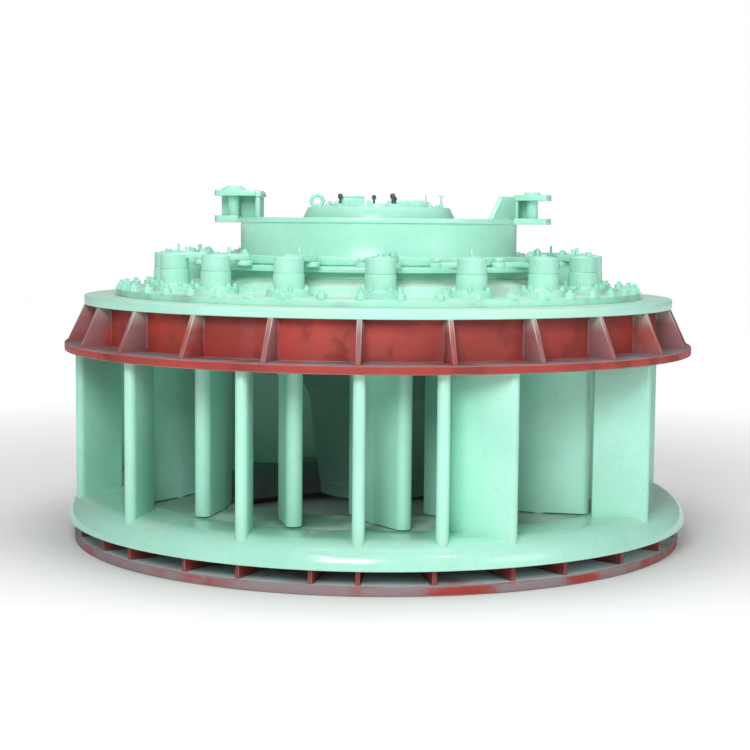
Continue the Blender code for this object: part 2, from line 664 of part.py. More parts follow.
def make_ear_pin(name, place, lower_top, upper_foot, upper_top, head):
    """Pin through an ear, with a spacer between the plates and a round head on top."""
    head_radius, crown_radius, head_height = head
    foot = upper_top + GAP
    profile = [(0.0, DRUM_FLANGE_FOOT), (EAR_PIN_RADIUS, DRUM_FLANGE_FOOT),
               (EAR_PIN_RADIUS, lower_top + RUN_GAP), (EAR_SPACER_RADIUS, lower_top + RUN_GAP),
               (EAR_SPACER_RADIUS, upper_foot - RUN_GAP), (EAR_PIN_RADIUS, upper_foot - RUN_GAP),
               (EAR_PIN_RADIUS, foot), (head_radius, foot), (crown_radius, foot + head_height),
               (0.0, foot + head_height)]
    pin = turned(name, profile, SLEEVE_SIDES)
    pin.location = place
    return painted(pin, MINT)


def leaf_outline():
    """Plan of a guide vane's leaf about its stem, nose towards +X: a round nose and a thin tail."""
    centre = LEAF_NOSE - LEAF_NOSE_RADIUS
    upper = []
    for k in range(1, LEAF_NOSE_STEPS + 1):
        turn = 0.5 * math.pi * k / LEAF_NOSE_STEPS
        upper.append((centre + LEAF_NOSE_RADIUS * math.cos(turn), LEAF_NOSE_RADIUS * math.sin(turn)))
    for k in range(LEAF_TAIL_STEPS + 1):
        share = k / LEAF_TAIL_STEPS
        half = LEAF_EDGE + (LEAF_HALF - LEAF_EDGE) * (1.0 - share ** LEAF_TAPER)
        upper.append((-LEAF_TAIL * share, half))
    return [(LEAF_NOSE, 0.0)] + upper + [(x, -half) for x, half in upper[::-1]]


def lever_tip():
    """Place of the lever's pin from the stem's axis, +X outwards."""
    turn = math.radians(LEVER_REST)
    return Vector((-LEVER_LENGTH * math.cos(turn), LEVER_LENGTH * math.sin(turn), 0.0))


def arm_outline():
    """Plan of the lever's arm, from the hub to round its pin."""
    tip = lever_tip()
    along = tip.normalized()
    side = Vector((-along.y, along.x, 0.0))
    points = [side * (-ARM_ROOT_WIDTH / 2), side * (ARM_ROOT_WIDTH / 2)]
    for k in range(7):
        turn = math.pi * k / 6
        points.append(tip + (side * math.cos(turn) + along * math.sin(turn)) * ARM_TIP_RADIUS)
    return [(point.x, point.y) for point in points]


def make_guide_vane_pattern():
    """One guide vane: the leaf, its stems, and the lever clamped on the upper stem."""
    leaf = prism("guide_vane_01", leaf_outline(), FLOOR_Z + END_CLEARANCE, ROOF_Z - END_CLEARANCE)
    moved(leaf, Matrix.Rotation(math.radians(GUIDE_LEAN), 4, "Z"))
    stem_top = HUB_FOOT + STEM_BITE
    stem = [(0.0, LOWER_STEM_FOOT), (LOWER_STEM_RADIUS, LOWER_STEM_FOOT),
            (LOWER_STEM_RADIUS, FLOOR_Z + END_CLEARANCE + STEM_BITE),
            (STEM_RADIUS, ROOF_Z - END_CLEARANCE - STEM_BITE), (STEM_RADIUS, stem_top), (0.0, stem_top)]
    combine(leaf, "UNION", turned("stem", stem, STEM_SIDES))
    combine(leaf, "UNION", prism("hub", circle(HUB_RADIUS, SLEEVE_SIDES), HUB_FOOT, HUB_TOP))
    combine(leaf, "UNION", prism("arm", arm_outline(), ARM_FOOT, ARM_TOP))
    tip = lever_tip()
    pin = circle(LINK_PIN_RADIUS, PIN_SIDES, (tip.x, tip.y))
    combine(leaf, "UNION", prism("lever_pin", pin, LEVER_PIN_FOOT, ARM_FOOT + BITE))
    return painted(leaf, MINT)


def make_guide_vanes():
    """Sixteen guide vanes, each with its origin on the axis that its stem turns on."""
    pattern = make_guide_vane_pattern()
    vanes = []
    for k, azimuth in enumerate(guide_azimuths()):
        vane = pattern if k == 0 else copy_of(pattern, f"guide_vane_{k + 1:02d}")
        vane.location = GUIDE_CIRCLE * radial(azimuth)
        vane.rotation_euler = (0.0, 0.0, math.radians(azimuth - 90.0))
        vanes.append(vane)
    return vanes


def link_end():
    """Place of the link's open end from its pin, in the frame of its guide vane, +X outwards."""
    turn = math.radians(LINK_PIN_OFFSET)
    pin = Vector((LINK_PIN_CIRCLE * math.cos(turn), LINK_PIN_CIRCLE * math.sin(turn), 0.0))
    return Vector((GUIDE_CIRCLE, 0.0, 0.0)) + lever_tip() - pin


def make_link_pattern():
    """One link: an eye on the ring's pin and a wider, open eye round the lever's pin."""
    end = link_end()
    link = prism("link_01", circle(LINK_EYE_RADIUS, PIN_SIDES), LINK_FOOT, LINK_TOP)
    far = prism("far_eye", circle(OPEN_EYE_RADIUS, PIN_SIDES, (end.x, end.y)), LINK_FOOT, LINK_TOP)
    combine(link, "UNION", far)
    side = Vector((-end.y, end.x, 0.0)).normalized() * (LINK_BAR_WIDTH / 2)
    corners = [side * -1.0, end - side, end + side, side]
    bar = prism("bar", [(corner.x, corner.y) for corner in corners], LINK_FOOT, LINK_TOP)
    combine(link, "UNION", bar)
    near_hole = hole_radius(LINK_PIN_RADIUS, LINK_PIN_GAP, PIN_SIDES)
    far_hole = hole_radius(LINK_PIN_RADIUS, OPEN_EYE_SLACK, PIN_SIDES)
    outlines = [circle(near_hole, PIN_SIDES), circle(far_hole, PIN_SIDES, (end.x, end.y))]
    holes = [prism("hole", outline, LINK_FOOT - REACH, LINK_TOP + REACH) for outline in outlines]
    combine(link, "DIFFERENCE", gathered("holes", holes))
    return painted(link, MINT)


def make_links():
    """Sixteen links, each with its origin on the ring's pin that it turns on."""
    pattern = make_link_pattern()
    links = []
    for k, azimuth in enumerate(guide_azimuths()):
        link = pattern if k == 0 else copy_of(pattern, f"link_{k + 1:02d}")
        link.location = link_pin_spot(azimuth)
        link.rotation_euler = (0.0, 0.0, math.radians(azimuth - 90.0))
        links.append(link)
    return links


def carried_by(parent, children):
    for child in children:
        child.parent = parent


def main():
    clear_scene()
    fixed = bpy.data.objects.new("distributor", None)
    bpy.context.scene.collection.objects.link(fixed)
    carried_by(fixed, [make_base_ring(), make_stay_ring(), make_bottom_ring(), make_upper_ring(),
                       make_top_plate(), make_head_cover(), make_inner_head_cover(), make_inner_cover(),
                       make_lifting_eye()])
    carried_by(fixed, make_stay_vanes())
    ring = make_operating_ring()
    right_pin = make_ear_pin("ear_pin_right", RIGHT_PIN_R * radial(RIGHT_AZIMUTH), RIGHT_LOWER_TOP,
                             RIGHT_UPPER_FOOT, RIGHT_UPPER_TOP, RIGHT_HEAD)
    left_pin = make_ear_pin("ear_pin_left", LEFT_PIN_R * radial(LEFT_AZIMUTH), LEFT_LOWER_TOP,
                            LEFT_UPPER_FOOT, LEFT_UPPER_TOP, LEFT_HEAD)
    carried_by(ring, [make_right_ear(), make_left_ear(), right_pin, left_pin])
    carried_by(ring, make_links())
    carried_by(fixed, make_guide_vanes() + [ring])


main()
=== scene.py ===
"""Finished surfaces of a vertical Kaplan turbine's distributor, the water-guide ring round the runner.

Metres, +Z up. The origin is on the turbine's axis at the foot of the base flange, and -Y is the front.
Azimuths are in degrees from the front, towards +X. Sections are lists of (radius, height).
"""

import math

import bmesh
import bpy
from mathutils import Matrix, Vector


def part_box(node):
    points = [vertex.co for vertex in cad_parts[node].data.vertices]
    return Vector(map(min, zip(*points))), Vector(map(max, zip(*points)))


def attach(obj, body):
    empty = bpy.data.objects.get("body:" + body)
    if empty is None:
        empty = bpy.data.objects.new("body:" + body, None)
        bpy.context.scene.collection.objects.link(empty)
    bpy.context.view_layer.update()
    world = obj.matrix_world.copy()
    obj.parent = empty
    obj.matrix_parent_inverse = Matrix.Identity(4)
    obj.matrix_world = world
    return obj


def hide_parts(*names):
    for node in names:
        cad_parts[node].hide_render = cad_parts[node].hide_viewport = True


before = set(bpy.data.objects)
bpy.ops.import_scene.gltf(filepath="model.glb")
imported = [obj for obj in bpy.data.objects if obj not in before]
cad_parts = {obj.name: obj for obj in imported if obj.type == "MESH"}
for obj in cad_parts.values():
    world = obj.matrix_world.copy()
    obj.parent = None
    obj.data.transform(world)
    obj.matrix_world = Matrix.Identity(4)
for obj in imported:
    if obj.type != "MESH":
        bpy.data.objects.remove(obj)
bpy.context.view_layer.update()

bl_info = {
    "name": "Turbine distributor",
    "version": (1, 0, 0),
    "blender": (4, 5, 0),
    "location": "3D View > Sidebar > Turbine",
    "description": "Builds the finished surfaces of a turbine's water-guide ring",
    "category": "Object",
}

# Gap between touching pieces, room round a stem, depth of a welded rib in its plate, and reach of a
# cutting shape past the plate that it cuts
TOUCH, STEM_ROOM, BITE, CUT = 0.0003, 0.002, 0.005, 0.020
# Angle above which an edge stays sharp, in degrees
SMOOTH_ANGLE = 35.0
# Points of a mesh that are nearer than this are merged
MERGE = 1e-5
# Steps round the inner cone and the inner cover's drum
CONE_STEPS, DRUM_STEPS = 96, 128

# Bodies that the pieces ride on
FIXED = "distributor"
RING = "ring"

# Sizes read from the frame
BASE_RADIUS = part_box("base_ring")[1].x
STAY_FOOT, CROWN_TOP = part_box("lower_stay_ring")[0].z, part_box("lower_stay_ring")[1].z
STAY_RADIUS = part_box("lower_stay_ring")[1].x
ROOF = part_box("upper_ring")[0].z
UPPER_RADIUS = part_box("upper_ring")[1].x
PLATE_FOOT, PLATE_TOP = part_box("top_plate")[0].z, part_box("top_plate")[1].z
PLATE_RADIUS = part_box("top_plate")[1].x
COVER_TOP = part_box("inner_cover")[1].z
VANE_FOOT, VANE_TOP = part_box("guide_vane_01")[0].z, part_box("guide_vane_01")[1].z
LINK_FOOT, LINK_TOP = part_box("link_01")[0].z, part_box("link_01")[1].z

# Base ring
BASE_FLANGE_TOP = 0.048
BASE_BORE = 1.100
BASE_SHELL_RADIUS = 1.130
BASE_RIB = 0.020
BASE_RIB_REACH = 1.668
FRONT_BASE_RIBS = (-57.1, -47.7, -33.9, -23.3, -10.7, -3.0, 9.4, 22.9, 33.2, 47.3, 61.8)
HIDDEN_BASE_RIBS = 16

# Lower stay ring and bottom ring
CROWN_LIP = 0.1256
CROWN_FLAT = 1.582
LIP_SLOPE = 0.012
LEDGE_RADIUS, LEDGE = 1.300, 0.180
SEAM_RADIUS = 1.376
SEAM_GROOVE = 0.006
THROAT_RADIUS, THROAT_WALL, THROAT_FOOT = 1.000, 0.045, 0.050

# Stay vanes: azimuth of the nose and of the inner end
STAY_VANES = (
    (-77.0, -84.5), (-47.8, -53.4), (-22.7, -25.3), (-3.0, -3.0), (56.0, 49.4), (103.0, 96.5),
    (131.3, 125.5), (161.7, 156.0), (192.0, 186.3), (222.3, 216.6), (252.7, 247.0),
)
TONGUE_PLATES = (("left", 10.4, 13.45), ("right", 23.4, 14.32))
STAY_NOSE, STAY_TAIL = 1.668, 1.440
STAY_THICKNESS, STAY_TAIL_THICKNESS = 0.060, 0.030
STAY_VANE_FOOT = CROWN_LIP + 0.030
WELD, WELD_RIPPLE, WELD_INSET = 0.006, 0.022, 0.010
WELD_SIDES, WELD_DIP, WELD_SHORT = 6, 0.78, 0.96
WELD_RISE, WELD_BEVEL = WELD * 0.8, WELD * 0.45

# Upper ring
UPPER_BORE = 1.4005
UPPER_WALL_INSIDE, UPPER_WALL_OUTSIDE = 1.530, 1.555
UPPER_FLANGE_TOP = 1.080
UPPER_RIBS, UPPER_RIB_START = 24, -3.1
UPPER_RIB = 0.025
UPPER_RIB_REACH, UPPER_RIB_TOE = 1.718, 0.004

# Head cover and its pots
DECK = 1.367
DECK_PLATE = 0.030
HEAD_WALL = 1.400
HEAD_FLANGE = 1.453
HEAD_BORE = 0.970
ROOF_TOP = 1.0775
PAD_TOP = 1.4825
# The deck rises to the pad under the operating ring, and comes back underneath
DECK_RISE = ((1.085, DECK), (1.055, 1.415), (0.930, 1.450), (0.930, PAD_TOP), (0.800, PAD_TOP),
             (0.800, 1.425), (0.915, 1.425), (1.030, 1.390), (1.062, DECK - DECK_PLATE))
POT_TOP = 1.4815
POT_RADIUS = 0.078
POT_FLANGE = 0.112
POT_FLANGE_TOP = DECK + 0.031
POT_EDGE, POT_FLANGE_EDGE, POT_FILLET, POT_FILLET_TOP = 0.004, 0.003, 0.008, DECK + 0.040
POT_SUNK = DECK - 0.010
POT_BOLTS, POT_BOLT_START, POT_BOLT_CIRCLE = 6, 120.0, 0.097
FLANGE_BOLTS = 48
FLANGE_BOLT_CIRCLE = 1.425

# Nuts: height and length of the stud, with the radius before them where a user can't change it
POT_NUT, FLANGE_NUT = (0.015, 0.008), (0.024, 0.016)
LID_NUT, PIN_NUT, HUB_NUT, LEVER_NUT = (
    (0.011, 0.012, 0.004), (0.014, 0.008), (0.018, 0.012), (0.020, 0.014, 0.006))
# Shares of a nut's radius, and then of its height
NUT_CHAMFER, NUT_RING, NUT_UNDER, WASHER = 0.14, 0.30, 0.25, 1.35
NUT_CROWN, WASHER_TALL = 0.12, 0.16

# Inner head cover: the cone's waist, its collar and sheet, and the wall and flange that carry the deck
CONE_WAIST, WAIST_HEIGHT = 0.378, 0.720
CONE_COLLAR = ((0.326, 0.300), (0.318, 0.292), (0.318, 0.224))
CONE_WALL, CONE_WALL_RISE = 0.025, 0.015
CARRIER_WALL, CARRIER_FLANGE = (0.720, 0.690), (0.600, 0.900)
CARRIER_FOOT, CARRIER_TOP = 1.3947, 1.4247

# Inner cover: its drum and lid, and the fittings as two corners, foot and top over the lid
COVER_RADIUS, COVER_FOOT, COVER_FLANGE = 0.420, 1.450, 0.728
COVER_SHEET = 0.025
LID_RADIUS, SHELF, SHELF_RADIUS = 0.300, 1.820, 0.395
LID_NUTS = ((16, 0.278, COVER_TOP), (24, 0.352, SHELF))
CHAMFER_FOOT, CHAMFER_UNDER = 1.766, 1.756
FITTINGS = (("terminal_box", (-0.213, -0.050), (-0.084, 0.050), -0.002, 0.036),
            ("box_lid", (-0.217, -0.054), (-0.080, 0.054), 0.0365, 0.047),
            ("hatch", (0.098, -0.090), (0.253, 0.090), -0.002, 0.022))
KNOB = ((0.0, 0.050), (0.008, 0.048), (0.012, 0.040), (0.011, 0.030), (0.006, 0.024), (0.006, 0.0),
        (0.0, 0.0))
KNOBS = ((-0.215, -0.075, 1.15), (-0.028, -0.020, 1.05), (0.076, -0.020, 1.25), (0.090, 0.030, 0.90))
T_HANDLE_X, T_HANDLE_TOP, T_HANDLE_ROD, T_HANDLE_BAR, T_HANDLE_HALF = 0.348, 1.888, 0.005, 0.004, 0.016
WIRE_X, WIRE_RADIUS, WIRE_TALL = 0.262, 0.0016, 0.055
EYE_X, EYE_MIDDLE, EYE_RING, EYE_WIRE = -0.345, 1.8548, 0.0315, 0.0105
EYE_BASE = ((0.0, 0.012), (0.013, 0.012), (0.020, 0.005), (0.024, 0.0), (0.0, 0.0))

# Guide vanes
GUIDES, GUIDE_START, GUIDE_CIRCLE, GUIDE_LEAN = 16, 0.4, 1.178, 33.0
LEAF_FOOT, LEAF_TOP = CROWN_TOP + 0.005, ROOF - 0.005
LEAF_NOSE, LEAF_TAIL, LEAF_NOSE_RADIUS = 0.2546, 0.2614, 0.041
LEAF_HALF, LEAF_EDGE, LEAF_TAPER = 0.045, 0.007, 1.5
STEM, LOWER_STEM = 0.050, 0.045
HUB_RADIUS, HUB_FOOT, HUB_TOP = 0.075, 1.482, 1.562
LEVER, LEVER_REST = 0.150, 24.75
ARM_FOOT, ARM_ROOT, ARM_TIP = 1.5385, 0.096, 0.030
PIN_CIRCLE, PIN_OFFSET, PIN_RADIUS = 0.963, -5.4, 0.014
EYE_RADIUS, OPEN_EYE_RADIUS, OPEN_HOLE, LINK_BAR = 0.034, 0.040, 0.0262, 0.042
LEVER_PIN_FOOT, OVERLAP, PIN_ROOM = 1.513, 0.010, 0.0006
HUB_CAP, HUB_EDGE, HUB_LIP = ((0.0, 0.006), (0.040, 0.006), (0.043, 0.003), (0.043, 0.0)), 0.006, 0.002
# Posts on the levers: radius and height, their foot, and their place as a share of the lever
POST_FOOT, POST_SHARE = VANE_TOP - 0.004, 0.46
POST_CROWN, POST_EDGE = 0.002, 0.003
POSTS = ((0.007, 0.040), (0.011, 0.034), (0.006, 0.042), (0.013, 0.030), (0.009, 0.036))

# Operating ring and ears
RING_FOOT, RING_BORE = 1.483, 0.739
RING_FLANGE, RING_FLANGE_TOP = 1.010, 1.510
RIM, RIM_TOP = 0.920, 1.558
GROOVE, GROOVE_TOP = RIM - 0.015, RING_FLANGE_TOP + 0.009
CAP_FOOT, CAP_NUT_RISE = LINK_TOP + 0.003, 0.009
CAP = ((0.0, 0.0165), (0.019, 0.0165), (0.025, 0.012), (0.025, 0.0))
DRUM, DRUM_FLANGE = 0.769, 0.785
DRUM_FLANGE_FOOT, DRUM_FLANGE_TOP = 1.732, 1.758

# Ears: azimuth and distance of the pin, top of the lower plate, foot and top of the upper plate,
# its root and half width; the tip's corners are measured from the pin
RIGHT_EAR = (78.0, 0.857, 1.764, 1.862, 1.892, 0.762, 0.075)
LEFT_EAR = (266.0, 0.818, 1.770, 1.879, 1.911, 0.680, 0.108)
EAR_PIN, EAR_SPACER = 0.025, 0.032
EAR_TIP = ((0.043, 0.104), (0.086, 0.085), (0.100, 0.045))
EAR_WALL, EAR_BITE = 0.025, 0.004
LOWER_ROOT, LOWER_HALF = 0.700, 0.140
EAR_PIN_ROOM, EAR_PLAY, EAR_CUT, EAR_HOLE = 0.0008, 0.0005, 0.050, (1.60, 2.00)
# Head of a pin: radius of its foot and of its crown, and height
RIGHT_HEAD, LEFT_HEAD = (0.046, 0.042, 0.015), (0.072, 0.045, 0.024)
HEAD_EDGE, HEAD_CROWN = 0.003, 0.004
# Walls between the plates, as two corners of their plans, the right ear's gusset, which slants from one
# place to another and slopes up from its low end, and the left ear's rounded back corner
RIGHT_WALLS = (("cross", (0.760, -0.060), (0.785, 0.080)), ("wall", (0.765, 0.070), (0.850, 0.095)))
LEFT_WALLS = (("end", (0.658, -0.075), (0.683, 0.090)), ("wall", (0.668, -0.085), (0.898, -0.060)))
GUSSET_NEAR, GUSSET_FAR = Vector((0.677, -0.360, 0.0)), Vector((0.772, -0.030, 0.0))
GUSSET_RISE, GUSSET_SLOPE = 0.122, ((0.147, 0.122), (0.130, 0.116))
CORNER, CORNER_ROUND, CORNER_END, CORNER_WIDTH = 0.675, 0.025, 0.680, 0.216

# Paint: scale of its close tones, of its specks and of its relief
MOTTLE_SCALE, SPECKLE_SCALE, RELIEF_SCALE = 1.7, 38.0, 26.0
SPECKLE_TONE, RELIEF_DEPTH = 0.82, 0.004

# Stage: colour and level of the floor, where its glow begins and ends, and light of the surroundings
WHITE, FLOOR_COLOUR, FLOOR_LEVEL = (1.0, 1.0, 1.0, 1.0), (0.93, 0.93, 0.93, 1.0), -0.0005
GLOW_NEAR, GLOW_FAR, GLOW = 1.7, 8.0, 0.72
STUDIO_LIGHT, STUDIO_SEEN = 0.29, 1.0
AIM = Vector((0.0, 0.0, 0.9))
# Lamps: name, place, power in watts and width
LAMPS = (("key", (-1.4, -8.0, 4.6), 318.0, 2.6), ("fill", (6.0, -5.5, 3.0), 80.0, 3.0),
         ("top", (0.0, -0.5, 6.5), 165.0, 4.0), ("window_left", (-2.2, -6.0, 5.2), 26.0, 0.45),
         ("window_right", (2.6, -5.4, 5.6), 26.0, 0.45))

# Camera, as fitted to the photograph: lens and sensor in millimetres
CAMERA_PLACE = (-0.014, -8.944, 1.701)
CAMERA_LENS, CAMERA_SENSOR = 76.4, 36.0
CAMERA_PITCH, CAMERA_ROLL = 5.24, 0.50


def radial(azimuth):
    """Unit vector that points outwards at an azimuth."""
    turn = math.radians(azimuth)
    return Vector((math.sin(turn), -math.cos(turn), 0.0))


def at(azimuth, radius=0.0, height=0.0):
    """Place of a piece modelled with +X outwards: turned to an azimuth and moved out and up."""
    return Matrix.Translation(radius * radial(azimuth) + Vector((0, 0, height))) @ Matrix.Rotation(
        math.radians(azimuth - 90.0), 4, "Z")


def around(count, start, radius=0.0, height=0.0):
    """Places at even steps round the axis."""
    return [at(start + 360.0 / count * k, radius, height) for k in range(count)]


def arc(steps, turn=math.pi):
    """Cosine and sine at even steps of a turn, both ends included."""
    angles = [turn * k / steps for k in range(steps + 1)]
    return [(math.cos(angle), math.sin(angle)) for angle in angles]


def circle(radius, sides, centre=(0.0, 0.0)):
    step = 2 * math.pi / sides
    return [(centre[0] + radius * math.cos(k * step), centre[1] + radius * math.sin(k * step))
            for k in range(sides)]


def rectangle(near, far):
    """Plan between two corners."""
    return [near, (far[0], near[1]), far, (near[0], far[1])]


def guide_azimuths():
    return [GUIDE_START + 360.0 * k / GUIDES for k in range(GUIDES)]


def only(piece):
    """Leave edit mode, select this piece alone and make it the active one."""
    if bpy.context.mode != "OBJECT":
        bpy.ops.object.mode_set(mode="OBJECT")
    bpy.ops.object.select_all(action="DESELECT")
    if piece:
        piece.select_set(True)
        bpy.context.view_layer.objects.active = piece


def named(piece, name):
    piece.name = name
    piece.data.name = name
    return piece


def pick_faces(piece, test):
    """In edit mode, select the faces that pass a test, and nothing else."""
    bpy.ops.mesh.select_mode(type="FACE")
    bpy.ops.mesh.select_all(action="DESELECT")
    bm = bmesh.from_edit_mesh(piece.data)
    for face in bm.faces:
        face.select_set(bool(test(face)))
    bmesh.update_edit_mesh(piece.data)


def drawn(name, points, closed=True):
    """Draw a line through the points by extruding one point, and fill it if it is closed."""
    only(None)
    bpy.ops.mesh.primitive_plane_add(size=0.01, location=(0, 0, 0))
    piece = named(bpy.context.object, name)
    bpy.ops.object.mode_set(mode="EDIT")
    bpy.ops.mesh.select_mode(type="VERT")
    bpy.ops.mesh.select_all(action="SELECT")
    bpy.ops.mesh.merge(type="CENTER")
    bpy.ops.transform.translate(value=points[0])
    for here, there in zip(points, points[1:]):
        step = Vector(there) - Vector(here)
        bpy.ops.mesh.extrude_region_move(TRANSFORM_OT_translate={"value": step})
    bpy.ops.mesh.select_all(action="SELECT")
    if closed:
        bpy.ops.mesh.edge_face_add()
    return piece


def cleaned(piece):
    """Merge doubled points, turn the faces outwards and leave edit mode."""
    bpy.ops.mesh.select_all(action="SELECT")
    bpy.ops.mesh.remove_doubles(threshold=MERGE)
    bpy.ops.mesh.normals_make_consistent(inside=False)
    bpy.ops.object.mode_set(mode="OBJECT")
    return piece


def turned(name, section, steps, closed=True):
    """Spin a section round the Z axis; an open one starts and ends on the axis."""
    piece = drawn(name, [(radius, 0.0, height) for radius, height in section], closed)
    if closed:
        bpy.ops.mesh.delete(type="ONLY_FACE")
        bpy.ops.mesh.select_all(action="SELECT")
    bpy.ops.mesh.spin(steps=steps, angle=2 * math.pi, center=(0, 0, 0), axis=(0, 0, 1))
    return cleaned(piece)


def prism(name, outline, foot, top):
    """Extrude a plan outline from one height to another."""
    piece = drawn(name, [(x, y, foot) for x, y in outline])
    bpy.ops.mesh.extrude_region_move(TRANSFORM_OT_translate={"value": (0, 0, top - foot)})
    return cleaned(piece)


def rod(name, radius, foot, top, steps):
    """A plain round rod on the Z axis."""
    return turned(name, [(0.0, top), (radius, top), (radius, foot), (0.0, foot)], steps, closed=False)


def plate(name, outline, thickness):
    """Extrude an upright outline of (x, z) points to both sides of its plane."""
    piece = drawn(name, [(x, -thickness / 2, z) for x, z in outline])
    bpy.ops.mesh.extrude_region_move(TRANSFORM_OT_translate={"value": (0, thickness, 0)})
    return cleaned(piece)


def applied(piece, modifier):
    only(piece)
    bpy.ops.object.modifier_apply(modifier=modifier.name)
    return piece


def softened(piece, width, segments=2, angle=30.0):
    """Round the sharp edges; the rounded strips take the second material where there is one."""
    modifier = piece.modifiers.new("edges", "BEVEL")
    modifier.width = width
    modifier.segments = segments
    modifier.limit_method = "ANGLE"
    modifier.angle_limit = math.radians(angle)
    modifier.material = 1 if len(piece.data.materials) > 1 else -1
    return applied(piece, modifier)


def combined(piece, helper, operation):
    """Apply one exact Boolean and delete the helper."""
    modifier = piece.modifiers.new("combine", "BOOLEAN")
    modifier.operation = operation
    modifier.solver = "EXACT"
    modifier.object = helper
    applied(piece, modifier)
    bpy.data.objects.remove(helper, do_unlink=True)
    return piece


def joined(name, pieces):
    """Join pieces into the first one."""
    only(pieces[0])
    for piece in pieces:
        piece.select_set(True)
    bpy.ops.object.join()
    return named(pieces[0], name)


def twin(piece, name, place):
    """A copy with its own mesh, put in place."""
    copy = piece.copy()
    copy.data = piece.data.copy()
    copy.data.transform(place)
    bpy.context.scene.collection.objects.link(copy)
    return named(copy, name)


def spread(piece, places):
    """Copy a piece to every place as one joined piece."""
    name = piece.name
    copies = [twin(piece, name + "_copy", place) for place in places]
    bpy.data.objects.remove(piece, do_unlink=True)
    return joined(name, copies)


def painted(piece, kind):
    """Give a piece the surface and the worn edge of a coat."""
    piece.data.materials.clear()
    for material in coats(kind):
        piece.data.materials.append(material)


def carried(piece, body, nodes=()):
    """Shade a painted piece smooth and let it ride on its body, in place of the nodes."""
    only(piece)
    bpy.ops.object.shade_smooth_by_angle(angle=math.radians(SMOOTH_ANGLE))
    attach(piece, body)
    if nodes:
        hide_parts(*nodes)


def finished(piece, body, kind, nodes=(), bevel=0.003, segments=2):
    """Paint a piece, round its edges and let it ride on its body."""
    painted(piece, kind)
    if bevel:
        softened(piece, bevel, segments)
    carried(piece, body, nodes)


# Materials

def feed(tree, socket, value):
    """Set a socket to a value, or link it to another node's output."""
    if isinstance(value, bpy.types.NodeSocket):
        tree.links.new(value, socket)
    else:
        socket.default_value = value


def node(tree, kind, **sockets):
    """A shader node with some of its sockets set or linked; a name's underscore stands for a space."""
    made = tree.nodes.new("ShaderNode" + kind)
    for name, value in sockets.items():
        feed(tree, made.inputs[name.replace("_", " ")], value)
    return made


def ranged(tree, value, low, high):
    """Stretch a value so that low becomes 0 and high becomes 1."""
    span = node(tree, "MapRange", Value=value, From_Min=low, From_Max=high)
    span.interpolation_type = "SMOOTHSTEP"
    return span.outputs["Result"]


def blotches(tree, scale, low, high, detail=5.0, stretch=(1.0, 1.0, 1.0), shift=0.0):
    """Mask of blotches: noise on Object coordinates, 0 below one level and 1 above the other."""
    place = node(tree, "TexCoord").outputs["Object"]
    moved = node(tree, "Mapping", Vector=place, Scale=stretch, Location=(shift, shift * 0.7, shift * 0.4))
    noise = node(tree, "TexNoise", Vector=moved.outputs["Vector"], Scale=scale, Detail=detail,
                 Roughness=0.6)
    return ranged(tree, noise.outputs["Fac"], low, high)


def height(tree, low, high):
    """Mask by height: 0 at one level and 1 at the other."""
    parts = node(tree, "SeparateXYZ", Vector=node(tree, "TexCoord").outputs["Object"])
    return ranged(tree, parts.outputs["Z"], low, high)


def upward(tree):
    """Mask of the faces that look up."""
    parts = node(tree, "SeparateXYZ", Vector=node(tree, "NewGeometry").outputs["Normal"])
    return ranged(tree, parts.outputs["Z"], 0.5, 0.95)


def maths(tree, operation, one, other):
    made = tree.nodes.new("ShaderNodeMath")
    made.operation = operation
    feed(tree, made.inputs[0], one)
    feed(tree, made.inputs[1], other)
    return made.outputs["Value"]


def times(tree, product, *factors):
    """Product of masks and numbers."""
    for factor in factors:
        product = maths(tree, "MULTIPLY", product, factor)
    return product


def blended(tree, mask, under, over):
    """Lay one colour over another by a mask."""
    mix = tree.nodes.new("ShaderNodeMix")
    mix.data_type = "RGBA"
    for socket, value in ((mix.inputs[0], mask), (mix.inputs[6], under), (mix.inputs[7], over)):
        feed(tree, socket, (*value, 1.0) if isinstance(value, tuple) else value)
    return mix.outputs[2]


def tint(name, tone=1.0):
    """One of the user's colours, made darker or lighter by a tone."""
    return tuple(part * tone for part in getattr(bpy.context.scene.turbine_colours, name))


def coat(name, base, other, layers, gloss, bump=0.10, shine=0.5):
    """A coat of paint in two close tones, with layers of stains, dust and wear over it, and in some coats
    painted shade and painted light.

    A layer is (function that makes its mask, colour or its name). gloss is the roughness of clean paint and
    of paint under the layers, and shine is the strength of its reflections.
    """
    made = bpy.data.materials.new(name)
    made.use_nodes = True
    tree = made.node_tree
    colour = blended(tree, blotches(tree, MOTTLE_SCALE, 0.35, 0.65), base, other)
    speckle = tuple(SPECKLE_TONE * part for part in base)
    specks = times(tree, blotches(tree, SPECKLE_SCALE, 0.52, 0.78), 0.35)
    colour = blended(tree, specks, colour, speckle)
    # Every layer's mask, painted shade and painted light among them, roughens the paint under it.
    dirt_and_shade = None
    for make_mask, layer in layers:
        mask = make_mask(tree)
        colour = blended(tree, mask, colour, tint(layer) if isinstance(layer, str) else layer)
        dirt_and_shade = mask if dirt_and_shade is None else maths(tree, "MAXIMUM", dirt_and_shade, mask)
    rough = node(tree, "MapRange", Value=dirt_and_shade, To_Min=gloss[0], To_Max=gloss[1])
    fine = blotches(tree, RELIEF_SCALE, 0.0, 1.0, detail=8.0)
    relief = node(tree, "Bump", Strength=bump, Distance=RELIEF_DEPTH, Height=fine)
    shader = tree.nodes["Principled BSDF"]
    for socket, value in (("Base Color", colour), ("Roughness", rough.outputs["Result"]),
                          ("Normal", relief.outputs["Normal"]), ("Specular IOR Level", shine)):
        feed(tree, shader.inputs[socket], value)
    return made


def dusting(amount, scale=3.0):
    """Dust that lies in patches on what looks up."""
    def mask(tree):
        lying = blotches(tree, scale, 0.60 - 0.35 * amount, 0.80 - 0.25 * amount)
        return times(tree, upward(tree), lying, min(1.0, 0.5 + 0.5 * amount))
    return mask


